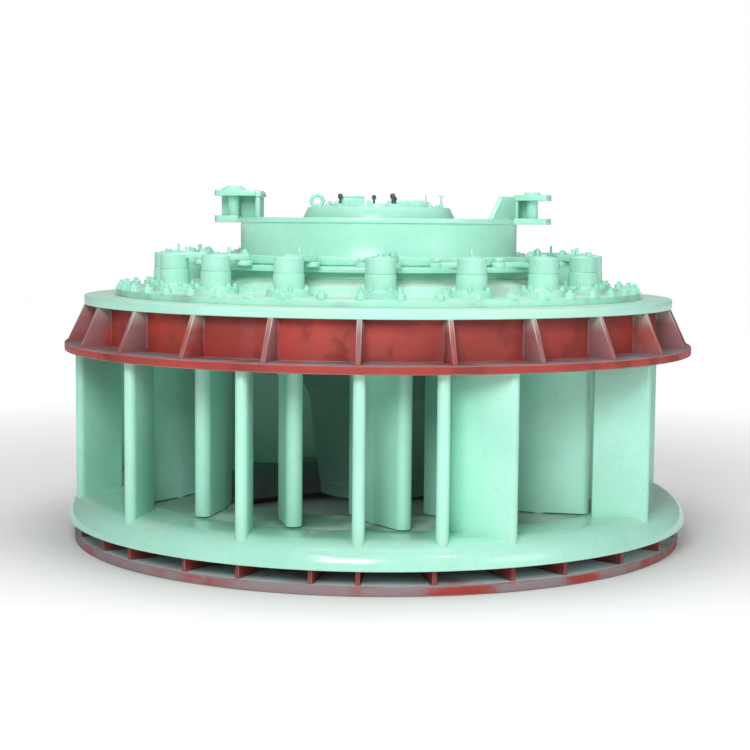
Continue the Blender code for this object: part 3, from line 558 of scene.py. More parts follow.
def streaks(amount, scale=5.0, shift=0.0):
    """Thin stains that run down."""
    def mask(tree):
        return times(tree, blotches(tree, scale, 0.56, 0.80, stretch=(1.0, 1.0, 0.08), shift=shift),
                     amount)
    return mask


def patches(amount, scale, low, high, shift=0.0):
    """Blotches of another colour."""
    def mask(tree):
        return times(tree, blotches(tree, scale, low, high, shift=shift), amount)
    return mask


def band(low, high, amount, scale=4.0, shift=0.0):
    """A layer that grows from one height to another, with a ragged edge."""
    def mask(tree):
        return times(tree, height(tree, low, high), blotches(tree, scale, 0.25, 0.60, shift=shift),
                     amount)
    return mask


COATS = {}


def coats(kind):
    """The materials of a kind of piece, made once: the surface, and its worn edges."""
    if kind not in COATS:
        COATS[kind] = COAT_MAKERS[kind]()
    return COATS[kind]


def green_coats(label, gloss, dust=0.35, stain=0.25, tone=1.0, extra=()):
    """Maker of the green enamel for one group of pieces."""
    def make():
        green = tint("green", tone)
        pale = tuple(min(1.0, part * 1.10 + 0.02) for part in green)
        stained = tuple(part * factor for part, factor in zip(green, (0.66, 0.74, 0.70)))
        layers = [(dusting(dust), "dust"), (streaks(stain), stained), *extra]
        worn = [(patches(0.55, 9.0, 0.50, 0.66, shift=3.0), "primer")]
        return [coat(label + "_enamel", green, pale, layers, gloss),
                coat(label + "_worn_edge", pale, green, worn, (gloss[0], 0.6))]
    return make


def red_coats(label, dust, surface_layers, tone=1.0, extra=()):
    """Maker of the red primer for one group of pieces."""
    def make():
        red = tint("red", tone)
        dull = tuple(0.5 * bright + 0.5 * dark for bright, dark in zip(red, tint("rust_and_shade")))
        layers = [(patches(0.7, 2.6, 0.52, 0.72, shift=5.0), "rust_and_shade"), (dusting(dust, 4.0), "grime_and_shade"),
                  (streaks(0.35, 6.0, 2.0), "grime_and_shade"), *surface_layers]
        worn = [(patches(0.8, 5.0, 0.42, 0.62, shift=1.0), "faded"),
                (patches(0.5, 11.0, 0.50, 0.66, shift=4.0), "red"), *extra]
        return [coat(label + "_primer", red, dull, layers, (0.50, 0.85), 0.18, 0.28),
                coat(label + "_worn_edge", tint("scuffed"), tint("red"), worn, (0.55, 0.85), 0.18, 0.28)]
    return make


def dark_coats():
    """Blackened steel for small fittings."""
    greasy = [(patches(0.6, 20.0, 0.5, 0.7), "grime_and_shade")]
    surface = coat("blackened_steel", tint("shadow"), tint("shadow", 0.7), greasy, (0.45, 0.75))
    surface.node_tree.nodes["Principled BSDF"].inputs["Metallic"].default_value = 0.4
    return [surface]


COAT_MAKERS = {
    "crown": green_coats("crown", (0.13, 0.50), dust=0.35, stain=0.20),
    # The throat's green is dimmed to 0.42, and the band darkens it more and more from 0.25 down to 0.10:
    # painted shade of the deep pit round the runner, over real dust.
    "throat": green_coats("throat", (0.40, 0.70), dust=0.60, tone=0.42,
                          extra=[(band(0.250, 0.10, 1.0), "grime_and_shade")]),
    "stay_vane": green_coats("stay_vane", (0.30, 0.60), stain=0.30,
                             extra=[(band(0.30, 0.25, 0.25), "dust")]),
    # The guide vanes' green is dimmed a little, to 0.93: painted shade of their place inside the ring.
    "guide_vane": green_coats("guide_vane", (0.33, 0.60), stain=0.30, tone=0.93),
    "plate": green_coats("plate", (0.34, 0.70), dust=0.75,
                         extra=[(patches(0.35, 1.1, 0.50, 0.62, shift=7.0), "dust")]),
    "deck": green_coats("deck", (0.36, 0.75), dust=0.85,
                        extra=[(patches(0.40, 3.0, 0.50, 0.64, shift=2.0), "scuffed")]),
    "pot": green_coats("pot", (0.30, 0.60), dust=0.30, stain=0.20),
    # The cone's green is dimmed to 0.42: painted shade of the dark space under the head cover; its stains
    # are real.
    "cone": green_coats("cone", (0.45, 0.70), tone=0.42, stain=0.5),
    "drum": green_coats("drum", (0.28, 0.55), dust=0.35, stain=0.22),
    "lid": green_coats("lid", (0.30, 0.60), dust=0.40, stain=0.20),
    "link": green_coats("link", (0.34, 0.60), dust=0.45, stain=0.20),
    "ear": green_coats("ear", (0.26, 0.50), dust=0.20, stain=0.25),
    # The layer on the base flange's upward faces is real blue-grey dust made pale: painted light standing
    # in for the light bounced into the bays under the crown.
    "base": red_coats("base", 0.0, [(patches(0.9, 2.4, 0.36, 0.56, shift=6.0), "scuffed"),
                                    (dusting(1.0, 2.0), "slate_dust_and_light")],
                      extra=[(patches(0.9, 3.1, 0.36, 0.56, shift=8.0), "scuffed")]),
    "base_rib": red_coats("base_rib", 0.2, [(band(0.075, 0.045, 0.6), "grime_and_shade")], tone=0.85),
    # The dull red band that darkens the top of the upper wall, from 1.19 up to 1.275, is painted shadow
    # cast by the overhanging top plate; the dull red patches are real.
    "upper": red_coats("upper", 1.0, [(band(1.19, 1.275, 0.75, 3.5), "rust_and_shade"),
                                      (patches(0.7, 5.5, 0.50, 0.66, shift=9.0), "rust_and_shade")]),
    "upper_rib": red_coats("upper_rib", 0.5, [(patches(0.75, 3.0, 0.33, 0.56, shift=2.0), "faded"),
                                              (band(1.20, 1.285, 0.45, 2.2, 1.0), "overspray")],
                           extra=[(band(1.14, 1.27, 0.85, 3.0), "overspray")]),
    "dark": dark_coats,
}


def weld_bead(length):
    """A short run of weld along X with its ripples, lying on the ground plane."""
    only(None)
    ripples = max(6, int(length / WELD_RIPPLE))
    bpy.ops.mesh.primitive_cylinder_add(vertices=WELD_SIDES, radius=WELD, depth=length,
                                        location=(0, 0, 0), rotation=(0, math.pi / 2, 0),
                                        end_fill_type="TRIFAN")
    piece = named(bpy.context.object, "bead")
    bpy.ops.object.transform_apply(location=True, rotation=True, scale=True)
    bpy.ops.object.mode_set(mode="EDIT")
    for k in range(1, ripples):
        bpy.ops.mesh.select_all(action="SELECT")
        cut = -length / 2 + k * length / ripples
        bpy.ops.mesh.bisect(plane_co=(cut, 0, 0), plane_no=(1, 0, 0))
    bpy.ops.mesh.select_all(action="DESELECT")
    bm = bmesh.from_edit_mesh(piece.data)
    for vert in bm.verts:
        step = round((vert.co.x + length / 2) * ripples / length)
        swell = 1.0 if step % 2 else WELD_DIP
        vert.co.y *= swell
        vert.co.z *= swell
    bmesh.update_edit_mesh(piece.data)
    bpy.ops.object.mode_set(mode="OBJECT")
    return piece


def welded_rib(name, outline, thickness, kind, wall, level, top=None):
    """A rib with +X outwards, and a weld along both sides of its foot, from a wall to the rib's end.

    The weld lies at a level; where a top is given, another one runs up the wall to there.
    """
    rib = plate(name, outline, thickness)
    painted(rib, kind)
    softened(rib, 0.003)
    reach = outline[1][0]
    bead = weld_bead(reach - wall - 2 * WELD_INSET)
    painted(bead, kind)
    seams = [(bead, (reach + wall) / 2, level)]
    if top:
        upright = twin(bead, "bead", Matrix.Rotation(math.pi / 2, 4, "Y"))
        upright.data.transform(Matrix.Diagonal((1, 1, (top - level) / (reach - wall) * WELD_SHORT, 1)))
        seams.append((upright, wall, (top + TOUCH + level) / 2))
    beads = [twin(seam, "bead", Matrix.Translation((out, side, rise)))
             for side in (-thickness / 2, thickness / 2) for seam, out, rise in seams]
    for seam, out, rise in seams:
        bpy.data.objects.remove(seam, do_unlink=True)
    return joined(name, [rib] + beads)


def hex_nut(name, radius, tall, stud=0.0):
    """A chamfered nut on a washer, with the end of its stud; it stands on the ground plane."""
    only(None)
    bpy.ops.mesh.primitive_cylinder_add(vertices=6, radius=radius, depth=tall, location=(0, 0, tall / 2))
    piece = named(bpy.context.object, name)
    bpy.ops.object.transform_apply(location=True, rotation=True, scale=True)
    bpy.ops.object.mode_set(mode="EDIT")
    pick_faces(piece, lambda face: face.normal.z > 0.9)
    bpy.ops.mesh.inset(thickness=radius * NUT_CHAMFER)
    bpy.ops.transform.translate(value=(0, 0, tall * NUT_CROWN))
    bpy.ops.mesh.inset(thickness=radius * NUT_RING)
    if stud:
        bpy.ops.mesh.extrude_region_move(TRANSFORM_OT_translate={"value": (0, 0, stud)})
    pick_faces(piece, lambda face: face.normal.z < -0.9)
    bpy.ops.mesh.inset(thickness=-radius * NUT_UNDER, use_outset=False)
    bpy.ops.object.mode_set(mode="OBJECT")
    washer = prism("washer", circle(radius * WASHER, 14), 0.0, tall * WASHER_TALL)
    return joined(name, [piece, washer])


def colour(name, value, description):
    return bpy.props.FloatVectorProperty(name=name, description=description, default=value, size=3,
                                         min=0.0, max=1.0, subtype="COLOR")


class TurbineColours(bpy.types.PropertyGroup):
    """Colours of the paint, the primer, stains and dust, and of the painted shade and light that some of
    them also give.
    """
    green: colour("Green enamel", (0.385, 0.76, 0.615), "Paint of the turbine's working parts")
    red: colour("Red primer", (0.43, 0.052, 0.038), "Primer of the parts that are cast into concrete")
    # Dull red: real darker patches in the primer, and painted shadow in the band at the top of the upper
    # wall.
    rust_and_shade: colour("Dull red", (0.19, 0.036, 0.034), "Darker patches in the primer")
    faded: colour("Faded primer", (0.27, 0.15, 0.16), "Purple-grey bloom on the primer")
    # Real blue-grey dust, made pale as painted light for the shaded bays under the crown.
    slate_dust_and_light: colour("Slate dust", (0.54, 0.53, 0.58), "Blue-grey dust on the base flange")
    primer: colour("Pink undercoat", (0.62, 0.47, 0.43), "Where the green is worn through at edges")
    scuffed: colour("Scuffed primer", (0.29, 0.25, 0.26), "Worn rims of the red flanges")
    # Grey dust and grease on the red pieces, and painted shade low in the throat.
    grime_and_shade: colour("Grime", (0.21, 0.20, 0.21), "Grey dust and grease")
    dust: colour("Dust", (0.52, 0.68, 0.55), "Pale dust on what looks up")
    overspray: colour("Overspray", (0.55, 0.68, 0.60), "Green mist at the top of the red ribs")
    shadow: colour("Blackened steel", (0.10, 0.13, 0.12), "Small dark fittings")


class TurbineSizes(bpy.types.PropertyGroup):
    """How finely round pieces are divided, and the sizes of the small fastenings."""
    steps: bpy.props.IntProperty(name="Steps", description="Steps round a large ring", default=192,
                                 min=24, max=512)
    small_steps: bpy.props.IntProperty(name="Small steps", description="Steps round a pot or a pin",
                                       default=40, min=12, max=96)
    nut: bpy.props.FloatProperty(name="Flange nut", description="Radius of the nuts on the head cover",
                                 default=0.026, min=0.005, max=0.05, unit="LENGTH")
    small_nut: bpy.props.FloatProperty(name="Small nut", description="Radius of the nuts on the pots",
                                       default=0.013, min=0.004, max=0.03, unit="LENGTH")
    floor: bpy.props.FloatProperty(name="Floor", description="Width of the pale floor", default=60.0,
                                   min=5.0, max=200.0, unit="LENGTH")


def sizes():
    return bpy.context.scene.turbine_sizes


def base_rib_azimuths():
    """The front ribs, then even steps round the back."""
    first, last = FRONT_BASE_RIBS[-1], FRONT_BASE_RIBS[0] + 360.0
    step = (last - first) / (HIDDEN_BASE_RIBS + 1)
    return list(FRONT_BASE_RIBS) + [first + step * (k + 1) for k in range(HIDDEN_BASE_RIBS)]


class TURBINE_OT_base_ring(bpy.types.Operator):
    """Base flange with its shell and the ribs under the stay ring"""
    bl_idname = "turbine.base_ring"
    bl_label = "Base ring"

    def execute(self, context):
        top = STAY_FOOT - TOUCH
        section = [(BASE_BORE, 0.0), (BASE_RADIUS, 0.0), (BASE_RADIUS, BASE_FLANGE_TOP),
                   (BASE_SHELL_RADIUS, BASE_FLANGE_TOP), (BASE_SHELL_RADIUS, top), (BASE_BORE, top)]
        flange = turned("base_flange", section, sizes().steps)
        finished(flange, FIXED, "base", ["base_ring"], bevel=0.005, segments=3)
        inner, foot = BASE_SHELL_RADIUS - BITE, BASE_FLANGE_TOP - BITE
        outline = [(inner, foot), (BASE_RIB_REACH, foot), (BASE_RIB_REACH, top), (inner, top)]
        rib = welded_rib("base_ribs", outline, BASE_RIB, "base_rib", BASE_SHELL_RADIUS, BASE_FLANGE_TOP)
        carried(spread(rib, [at(azimuth) for azimuth in base_rib_azimuths()]), FIXED)
        return {"FINISHED"}


def crown(grow=0.0, steps=12):
    """The rounded top of the lower stay ring, from its lip to the flat part."""
    reach, rise = STAY_RADIUS - CROWN_FLAT + grow, CROWN_TOP - CROWN_LIP + grow
    return [(CROWN_FLAT + reach * out, CROWN_LIP + rise * up) for out, up in arc(steps, math.pi / 2)]


class TURBINE_OT_stay_ring(bpy.types.Operator):
    """Green lower stay ring with its rounded crown, and the flat ring round the throat"""
    bl_idname = "turbine.stay_ring"
    bl_label = "Lower stay ring"

    def execute(self, context):
        section = [(LEDGE_RADIUS, STAY_FOOT), (STAY_RADIUS - LIP_SLOPE, STAY_FOOT)] + crown()
        section += [(SEAM_RADIUS + SEAM_GROOVE, CROWN_TOP), (SEAM_RADIUS, CROWN_TOP - SEAM_GROOVE),
                    (SEAM_RADIUS, LEDGE), (LEDGE_RADIUS, LEDGE)]
        ring = turned("stay_crown", section, sizes().steps)
        finished(ring, FIXED, "crown", ["lower_stay_ring"], bevel=0.002)
        seam = SEAM_RADIUS - TOUCH
        wall = THROAT_RADIUS + THROAT_WALL
        section = [(THROAT_RADIUS, THROAT_FOOT), (wall, THROAT_FOOT), (wall, LEDGE + TOUCH),
                   (seam, LEDGE + TOUCH), (seam, CROWN_TOP - SEAM_GROOVE),
                   (seam - SEAM_GROOVE, CROWN_TOP), (THROAT_RADIUS, CROWN_TOP)]
        ring = turned("throat_ring", section, sizes().steps)
        hole = prism("stem_holes", circle(LOWER_STEM + STEM_ROOM, sizes().small_steps), LEDGE - CUT,
                     CROWN_TOP + CUT)
        holes = spread(hole, around(GUIDES, GUIDE_START, GUIDE_CIRCLE))
        combined(ring, holes, "DIFFERENCE")
        finished(ring, FIXED, "throat", ["bottom_ring"], bevel=0.002)
        return {"FINISHED"}


def bar_outline(nose_azimuth, tail_azimuth, grow=0.0, steps=14):
    """Plan of a stay vane: a round nose, and a narrower, square inner end."""
    nose, tail = STAY_NOSE * radial(nose_azimuth), STAY_TAIL * radial(tail_azimuth)
    along = (tail - nose).normalized()
    side = Vector((-along.y, along.x, 0.0))
    centre = nose + along * (STAY_THICKNESS / 2)
    round_nose = STAY_THICKNESS / 2 + grow
    points = [centre + (side * across - along * ahead) * round_nose for across, ahead in arc(steps)]
    end = tail + along * grow
    half = STAY_TAIL_THICKNESS / 2 + grow
    return [(point.x, point.y) for point in points + [end - side * half, end + side * half]]


class TURBINE_OT_stay_vanes(bpy.types.Operator):
    """Fixed vanes between the stay ring and the upper ring, with their welds"""
    bl_idname = "turbine.stay_vanes"
    bl_label = "Stay vanes"

    def execute(self, context):
        vanes = [(f"stay_vane_{k + 1:02d}", nose, tail) for k, (nose, tail) in enumerate(STAY_VANES)]
        vanes += [("tongue_plate_" + side, nose, tail) for side, nose, tail in TONGUE_PLATES]
        for name, nose, tail in vanes:
            vane = prism(name + "_bar", bar_outline(nose, tail), STAY_VANE_FOOT, ROOF - TOUCH)
            finished(vane, FIXED, "stay_vane", [name])
        foot_welds, head_welds = [], []
        for name, nose, tail in vanes:
            outline = bar_outline(nose, tail, WELD)
            foot_welds.append(prism("foot_weld", outline, CROWN_LIP, CROWN_TOP + CUT))
            head_welds.append(prism("head_weld", outline, ROOF - WELD, ROOF - TOUCH))
        feet = joined("stay_vane_welds", foot_welds)
        below = [(SEAM_RADIUS - CUT, CROWN_LIP - CUT), (STAY_RADIUS, CROWN_LIP - CUT)]
        above = [(SEAM_RADIUS - CUT, CROWN_TOP + WELD_RISE)]
        shell = turned("shell", below + crown(WELD_RISE) + above, sizes().steps)
        combined(feet, shell, "INTERSECT")
        welds = joined("stay_vane_welds", [feet] + head_welds)
        finished(welds, FIXED, "stay_vane", bevel=WELD_BEVEL)
        return {"FINISHED"}


class TURBINE_OT_upper_ring(bpy.types.Operator):
    """Red upper flange and wall, with the sloping ribs round it"""
    bl_idname = "turbine.upper_ring"
    bl_label = "Upper ring"

    def execute(self, context):
        top = PLATE_FOOT - TOUCH
        section = [(UPPER_BORE, ROOF), (UPPER_RADIUS, ROOF), (UPPER_RADIUS, UPPER_FLANGE_TOP),
                   (UPPER_WALL_OUTSIDE, UPPER_FLANGE_TOP), (UPPER_WALL_OUTSIDE, top),
                   (UPPER_WALL_INSIDE, top), (UPPER_WALL_INSIDE, UPPER_FLANGE_TOP),
                   (UPPER_BORE, UPPER_FLANGE_TOP)]
        ring = turned("upper_flange", section, sizes().steps)
        finished(ring, FIXED, "upper", ["upper_ring"], bevel=0.005, segments=3)
        inner, foot = UPPER_WALL_OUTSIDE - BITE, UPPER_FLANGE_TOP - BITE
        outline = [(inner, foot), (UPPER_RIB_REACH, foot),
                   (UPPER_RIB_REACH, UPPER_FLANGE_TOP + UPPER_RIB_TOE), (PLATE_RADIUS, top), (inner, top)]
        rib = welded_rib("upper_ribs", outline, UPPER_RIB, "upper_rib", UPPER_WALL_OUTSIDE,
                         UPPER_FLANGE_TOP, top)
        carried(spread(rib, around(UPPER_RIBS, UPPER_RIB_START)), FIXED)
        return {"FINISHED"}


class TURBINE_OT_top_plate(bpy.types.Operator):
    """Green plate over the ribs"""
    bl_idname = "turbine.top_plate"
    bl_label = "Top plate"

    def execute(self, context):
        section = [(UPPER_BORE, PLATE_FOOT), (PLATE_RADIUS, PLATE_FOOT), (PLATE_RADIUS, PLATE_TOP),
                   (UPPER_BORE, PLATE_TOP)]
        disc = turned("top_plate_disc", section, sizes().steps)
        finished(disc, FIXED, "plate", ["top_plate"], bevel=0.005, segments=3)
        return {"FINISHED"}


def pot(small):
    """Sleeve of a guide vane's stem on its bolted flange, at the origin with +X outwards."""
    inside, foot = STEM + STEM_ROOM, ROOF + CUT
    section = [(inside, foot), (inside, POT_TOP), (POT_RADIUS - POT_EDGE, POT_TOP),
               (POT_RADIUS, POT_TOP - POT_EDGE), (POT_RADIUS, POT_FILLET_TOP),
               (POT_RADIUS + POT_FILLET, POT_FLANGE_TOP), (POT_FLANGE - POT_FLANGE_EDGE, POT_FLANGE_TOP),
               (POT_FLANGE, POT_FLANGE_TOP - POT_FLANGE_EDGE), (POT_FLANGE, POT_SUNK),
               (POT_RADIUS, POT_SUNK), (POT_RADIUS, foot)]
    sleeve = turned("pot", section, small)
    nut = hex_nut("pot_nuts", sizes().small_nut, *POT_NUT)
    nuts = spread(nut, around(POT_BOLTS, POT_BOLT_START, POT_BOLT_CIRCLE, POT_FLANGE_TOP))
    return joined("cover_pots", [sleeve, nuts])


class TURBINE_OT_head_cover(bpy.types.Operator):
    """Head cover: roof, wall and deck, with the pots that the stems turn in and the flange nuts"""
    bl_idname = "turbine.head_cover"
    bl_label = "Head cover"

    def execute(self, context):
        under = DECK - DECK_PLATE
        wall_inside = HEAD_WALL - DECK_PLATE
        lip = PLATE_TOP + TOUCH
        section = [(HEAD_BORE, ROOF), (HEAD_WALL, ROOF), (HEAD_WALL, lip), (HEAD_FLANGE, lip),
                   (HEAD_FLANGE, DECK), *DECK_RISE, (wall_inside, under), (wall_inside, ROOF_TOP),
                   (HEAD_BORE, ROOF_TOP)]
        deck = turned("cover_deck", section, sizes().steps)
        hole = prism("stem_holes", circle(STEM + STEM_ROOM, sizes().small_steps), ROOF - CUT, DECK + CUT)
        holes = spread(hole, around(GUIDES, GUIDE_START, GUIDE_CIRCLE))
        combined(deck, holes, "DIFFERENCE")
        finished(deck, FIXED, "deck", ["head_cover"], bevel=0.004)
        pots = spread(pot(sizes().small_steps), around(GUIDES, GUIDE_START, GUIDE_CIRCLE))
        finished(pots, FIXED, "pot", bevel=0)
        nut = hex_nut("cover_nuts", sizes().nut, *FLANGE_NUT)
        start = GUIDE_START + 180.0 / FLANGE_BOLTS
        nuts = spread(nut, around(FLANGE_BOLTS, start, FLANGE_BOLT_CIRCLE, DECK))
        finished(nuts, FIXED, "pot", bevel=0)
        return {"FINISHED"}


def cone_line(inset, steps=14):
    """Water side of the inner cone from its rim to its foot, or a line inside it."""
    rim = HEAD_BORE - TOUCH
    points = [(CONE_WAIST + (rim - CONE_WAIST) * (1.0 - inwards), WAIST_HEIGHT + (ROOF - WAIST_HEIGHT) * up)
              for up, inwards in arc(steps, math.pi / 2)[:-1]]
    points += [(CONE_WAIST, WAIST_HEIGHT), *CONE_COLLAR]
    return [(radius - inset, level) for radius, level in points]


class TURBINE_OT_inner_head_cover(bpy.types.Operator):
    """Cone over the runner, and the wall above it"""
    bl_idname = "turbine.inner_head_cover"
    bl_label = "Inner head cover"

    def execute(self, context):
        wall, inside = CARRIER_WALL
        near, far = CARRIER_FLANGE
        inner = [(radius, level + CONE_WALL_RISE) for radius, level in cone_line(CONE_WALL)[1:-1]]
        inner.append(cone_line(CONE_WALL)[-1])
        inner = [point for point in inner if point[0] < inside - OVERLAP]
        section = cone_line(0.0) + inner[::-1]
        section += [(inside, ROOF_TOP), (inside, CARRIER_FOOT), (near, CARRIER_FOOT), (near, CARRIER_TOP),
                    (far, CARRIER_TOP), (far, CARRIER_FOOT), (wall, CARRIER_FOOT), (wall, ROOF_TOP),
                    (HEAD_BORE - TOUCH, ROOF_TOP)]
        cone = turned("inner_cone", section, CONE_STEPS)
        finished(cone, FIXED, "cone", ["inner_head_cover"], bevel=0.002)
        return {"FINISHED"}


class TURBINE_OT_inner_cover(bpy.types.Operator):
    """Drum and lid inside the operating ring, with the fittings on the lid"""
    bl_idname = "turbine.inner_cover"
    bl_label = "Inner cover"

    def execute(self, context):
        inside, under = COVER_RADIUS - COVER_SHEET, COVER_FOOT - COVER_SHEET
        section = [(0.0, COVER_TOP), (LID_RADIUS, COVER_TOP), (LID_RADIUS, SHELF), (SHELF_RADIUS, SHELF),
                   (COVER_RADIUS, CHAMFER_FOOT), (COVER_RADIUS, COVER_FOOT), (COVER_FLANGE, COVER_FOOT),
                   (COVER_FLANGE, under), (inside, under), (inside, CHAMFER_UNDER),
                   (SHELF_RADIUS - COVER_SHEET, SHELF - COVER_SHEET), (0.0, SHELF - COVER_SHEET)]
        drum = turned("cover_drum", section, DRUM_STEPS, closed=False)
        finished(drum, FIXED, "lid", ["inner_cover"], bevel=0.004)
        nut = hex_nut("lid_nuts", *LID_NUT)
        nuts = spread(nut, [place for count, circle_radius, level in LID_NUTS
                            for place in around(count, 180.0 / count, circle_radius, level)])
        finished(nuts, FIXED, "lid", bevel=0)
        self.fittings()
        return {"FINISHED"}

    def fittings(self):
        """Terminal box, hatch, knobs, wire and T handle on the lid."""
        top = COVER_TOP
        boxes = [prism(name, rectangle(near, far), top + low, top + high)
                 for name, near, far, low, high in FITTINGS]
        handle = rod("handle", T_HANDLE_ROD, SHELF - BITE, T_HANDLE_TOP, 12)
        bar = prism("bar", circle(T_HANDLE_BAR, 10), -T_HANDLE_HALF, T_HANDLE_HALF)
        across = Matrix.Translation((0, 0, T_HANDLE_TOP - 0.001)) @ Matrix.Rotation(math.pi / 2, 4, "Y")
        bar.data.transform(across)
        handle = joined("handle", [handle, bar])
        handle.data.transform(Matrix.Translation((T_HANDLE_X, 0.0, 0.0)))
        pieces = joined("lid_fittings", boxes + [handle])
        finished(pieces, FIXED, "lid")
        knob = turned("lid_knobs", KNOB, 20, closed=False)
        knobs = spread(knob, [Matrix.Translation((x, y, top)) @ Matrix.Scale(size, 4)
                              for x, y, size in KNOBS])
        wire = rod("wire", WIRE_RADIUS, top, top + WIRE_TALL, 8)
        wire.data.transform(Matrix.Translation((WIRE_X, 0.0, 0.0)))
        finished(joined("lid_knobs", [knobs, wire]), FIXED, "dark", bevel=0)


class TURBINE_OT_lifting_eye(bpy.types.Operator):
    """Lifting eye on the shelf of the inner cover"""
    bl_idname = "turbine.lifting_eye"
    bl_label = "Lifting eye"

    def execute(self, context):
        only(None)
        bpy.ops.mesh.primitive_torus_add(major_radius=EYE_RING, minor_radius=EYE_WIRE, major_segments=40,
                                         minor_segments=14, location=(0, 0, 0))
        eye = named(bpy.context.object, "eye")
        upright = Matrix.Rotation(math.pi / 2, 4, "X")
        eye.data.transform(Matrix.Translation((EYE_X, 0, EYE_MIDDLE)) @ upright)
        section = [(radius, SHELF + rise) for radius, rise in EYE_BASE]
        base = turned("eye_base", section, 24, closed=False)
        base.data.transform(Matrix.Translation((EYE_X, 0, 0)))
        finished(joined("cover_eye", [eye, base]), FIXED, "lid",
                 ["lifting_eye"], bevel=0)
        return {"FINISHED"}


class TURBINE_OT_operating_ring(bpy.types.Operator):
    """Drum of the operating ring with its flanges, and the pins of the links"""
    bl_idname = "turbine.operating_ring"
    bl_label = "Operating ring"

    def execute(self, context):
        section = [(RING_BORE, RING_FOOT), (RING_FLANGE, RING_FOOT), (RING_FLANGE, RING_FLANGE_TOP),
                   (GROOVE, RING_FLANGE_TOP), (GROOVE, GROOVE_TOP), (RIM, GROOVE_TOP), (RIM, RIM_TOP),
                   (DRUM, RIM_TOP), (DRUM, DRUM_FLANGE_FOOT), (DRUM_FLANGE, DRUM_FLANGE_FOOT),
                   (DRUM_FLANGE, DRUM_FLANGE_TOP), (RING_BORE, DRUM_FLANGE_TOP)]
        ring = turned("ring_drum", section, sizes().steps)
        finished(ring, RING, "drum", ["operating_ring"])
        head = [(radius, CAP_FOOT + rise) for radius, rise in CAP]
        pin = turned("ring_pins", head + [(PIN_RADIUS, CAP_FOOT), (PIN_RADIUS, RING_FLANGE_TOP - BITE),
                                          (0.0, RING_FLANGE_TOP - BITE)], 28, closed=False)
        nut = hex_nut("pin_nut", *PIN_NUT)
        nut.data.transform(Matrix.Translation((0, 0, CAP_FOOT + CAP_NUT_RISE)))
        pins = spread(joined("ring_pins", [pin, nut]),
                      around(GUIDES, GUIDE_START + PIN_OFFSET, PIN_CIRCLE))
        finished(pins, RING, "drum", bevel=0)
        return {"FINISHED"}


def ear_outline(root, half, pin_r):
    """Plan of an ear plate: straight from its root to a tip with cut corners, +X outwards."""
    near = [(root, -half)] + [(pin_r + reach, -side) for reach, side in EAR_TIP]
    return near + [(reach, -side) for reach, side in near[::-1]]


def ear_wall(name, near, far, top):
    """An upright wall of an ear between two corners of its plan."""
    return prism(name, rectangle(near, far), DRUM_FLANGE_TOP + TOUCH, top + EAR_BITE)


class TURBINE_OT_ears(bpy.types.Operator):
    """The two ears of the operating ring with their pins"""
    bl_idname = "turbine.ears"
    bl_label = "Ears"

    def execute(self, context):
        seat, right_top, left_top = DRUM_FLANGE_TOP + TOUCH, RIGHT_EAR[3], LEFT_EAR[3]
        along = GUSSET_FAR - GUSSET_NEAR
        slope = [(reach, seat + rise) for reach, rise in GUSSET_SLOPE]
        gusset = plate("gusset", [(0.0, seat), (along.length, seat), (along.length, seat + GUSSET_RISE)]
                       + slope, EAR_WALL)
        turn = Matrix.Rotation(math.atan2(along.y, along.x), 4, "Z")
        gusset.data.transform(Matrix.Translation(GUSSET_NEAR) @ turn)
        self.ear("right", RIGHT_EAR, [gusset] + [ear_wall(*wall, right_top) for wall in RIGHT_WALLS])
        self.pin("right", RIGHT_EAR, *RIGHT_HEAD)
        roof, low = LEFT_EAR[4], left_top - EAR_BITE
        bend = [(CORNER - CORNER_ROUND * back, roof - CORNER_ROUND + CORNER_ROUND * up)
                for back, up in arc(6, math.pi / 2)]
        corner = plate("corner", [(CORNER - CORNER_ROUND, low), *bend, (CORNER_END, roof),
                                  (CORNER_END, low)], CORNER_WIDTH)
        self.ear("left", LEFT_EAR, [corner] + [ear_wall(*wall, left_top) for wall in LEFT_WALLS])
        self.pin("left", LEFT_EAR, *LEFT_HEAD)
        return {"FINISHED"}

    def ear(self, name, shape, walls):
        """Lower plate against the drum's flange, upper plate, and the walls between them."""
        azimuth, pin_r, lower_top, foot, top, root, half = shape
        outline = ear_outline(LOWER_ROOT, LOWER_HALF, pin_r)
        lower = prism("lower", outline, DRUM_FLANGE_FOOT, lower_top)
        room = prism("room", circle(DRUM_FLANGE + EAR_PLAY, sizes().steps), DRUM_FLANGE_FOOT - EAR_CUT,
                     lower_top + EAR_CUT)
        combined(lower, room, "DIFFERENCE")
        upper = prism("upper", ear_outline(root, half, pin_r), foot, top)
        for drilled in (lower, upper):
            hole = prism("hole", circle(EAR_PIN + EAR_PIN_ROOM, 32, (pin_r, 0.0)), *EAR_HOLE)
            combined(drilled, hole, "DIFFERENCE")
        ear = joined("ear_" + name + "_plates", [lower, upper] + walls)
        ear.data.transform(at(azimuth))
        finished(ear, RING, "ear", ["ear_" + name], segments=3)

    def pin(self, name, shape, head, crown_radius, tall):
        """Pin with its spacer between the plates and its round head."""
        azimuth, pin_r, lower_top, foot, top = shape[:5]
        head_foot = top + TOUCH
        section = [(0.0, head_foot + tall), (crown_radius - HEAD_CROWN, head_foot + tall),
                   (crown_radius, head_foot + tall - HEAD_EDGE), (head, head_foot + HEAD_EDGE),
                   (head, head_foot), (EAR_PIN, head_foot), (EAR_PIN, foot - EAR_PLAY),
                   (EAR_SPACER, foot - EAR_PLAY), (EAR_SPACER, lower_top + EAR_PLAY),
                   (EAR_PIN, lower_top + EAR_PLAY),
                   (EAR_PIN, DRUM_FLANGE_FOOT), (0.0, DRUM_FLANGE_FOOT)]
        pin = turned("ear_" + name + "_pin", section, 40, closed=False)
        pin.data.transform(at(azimuth, pin_r))
        finished(pin, RING, "ear", ["ear_pin_" + name], bevel=0)


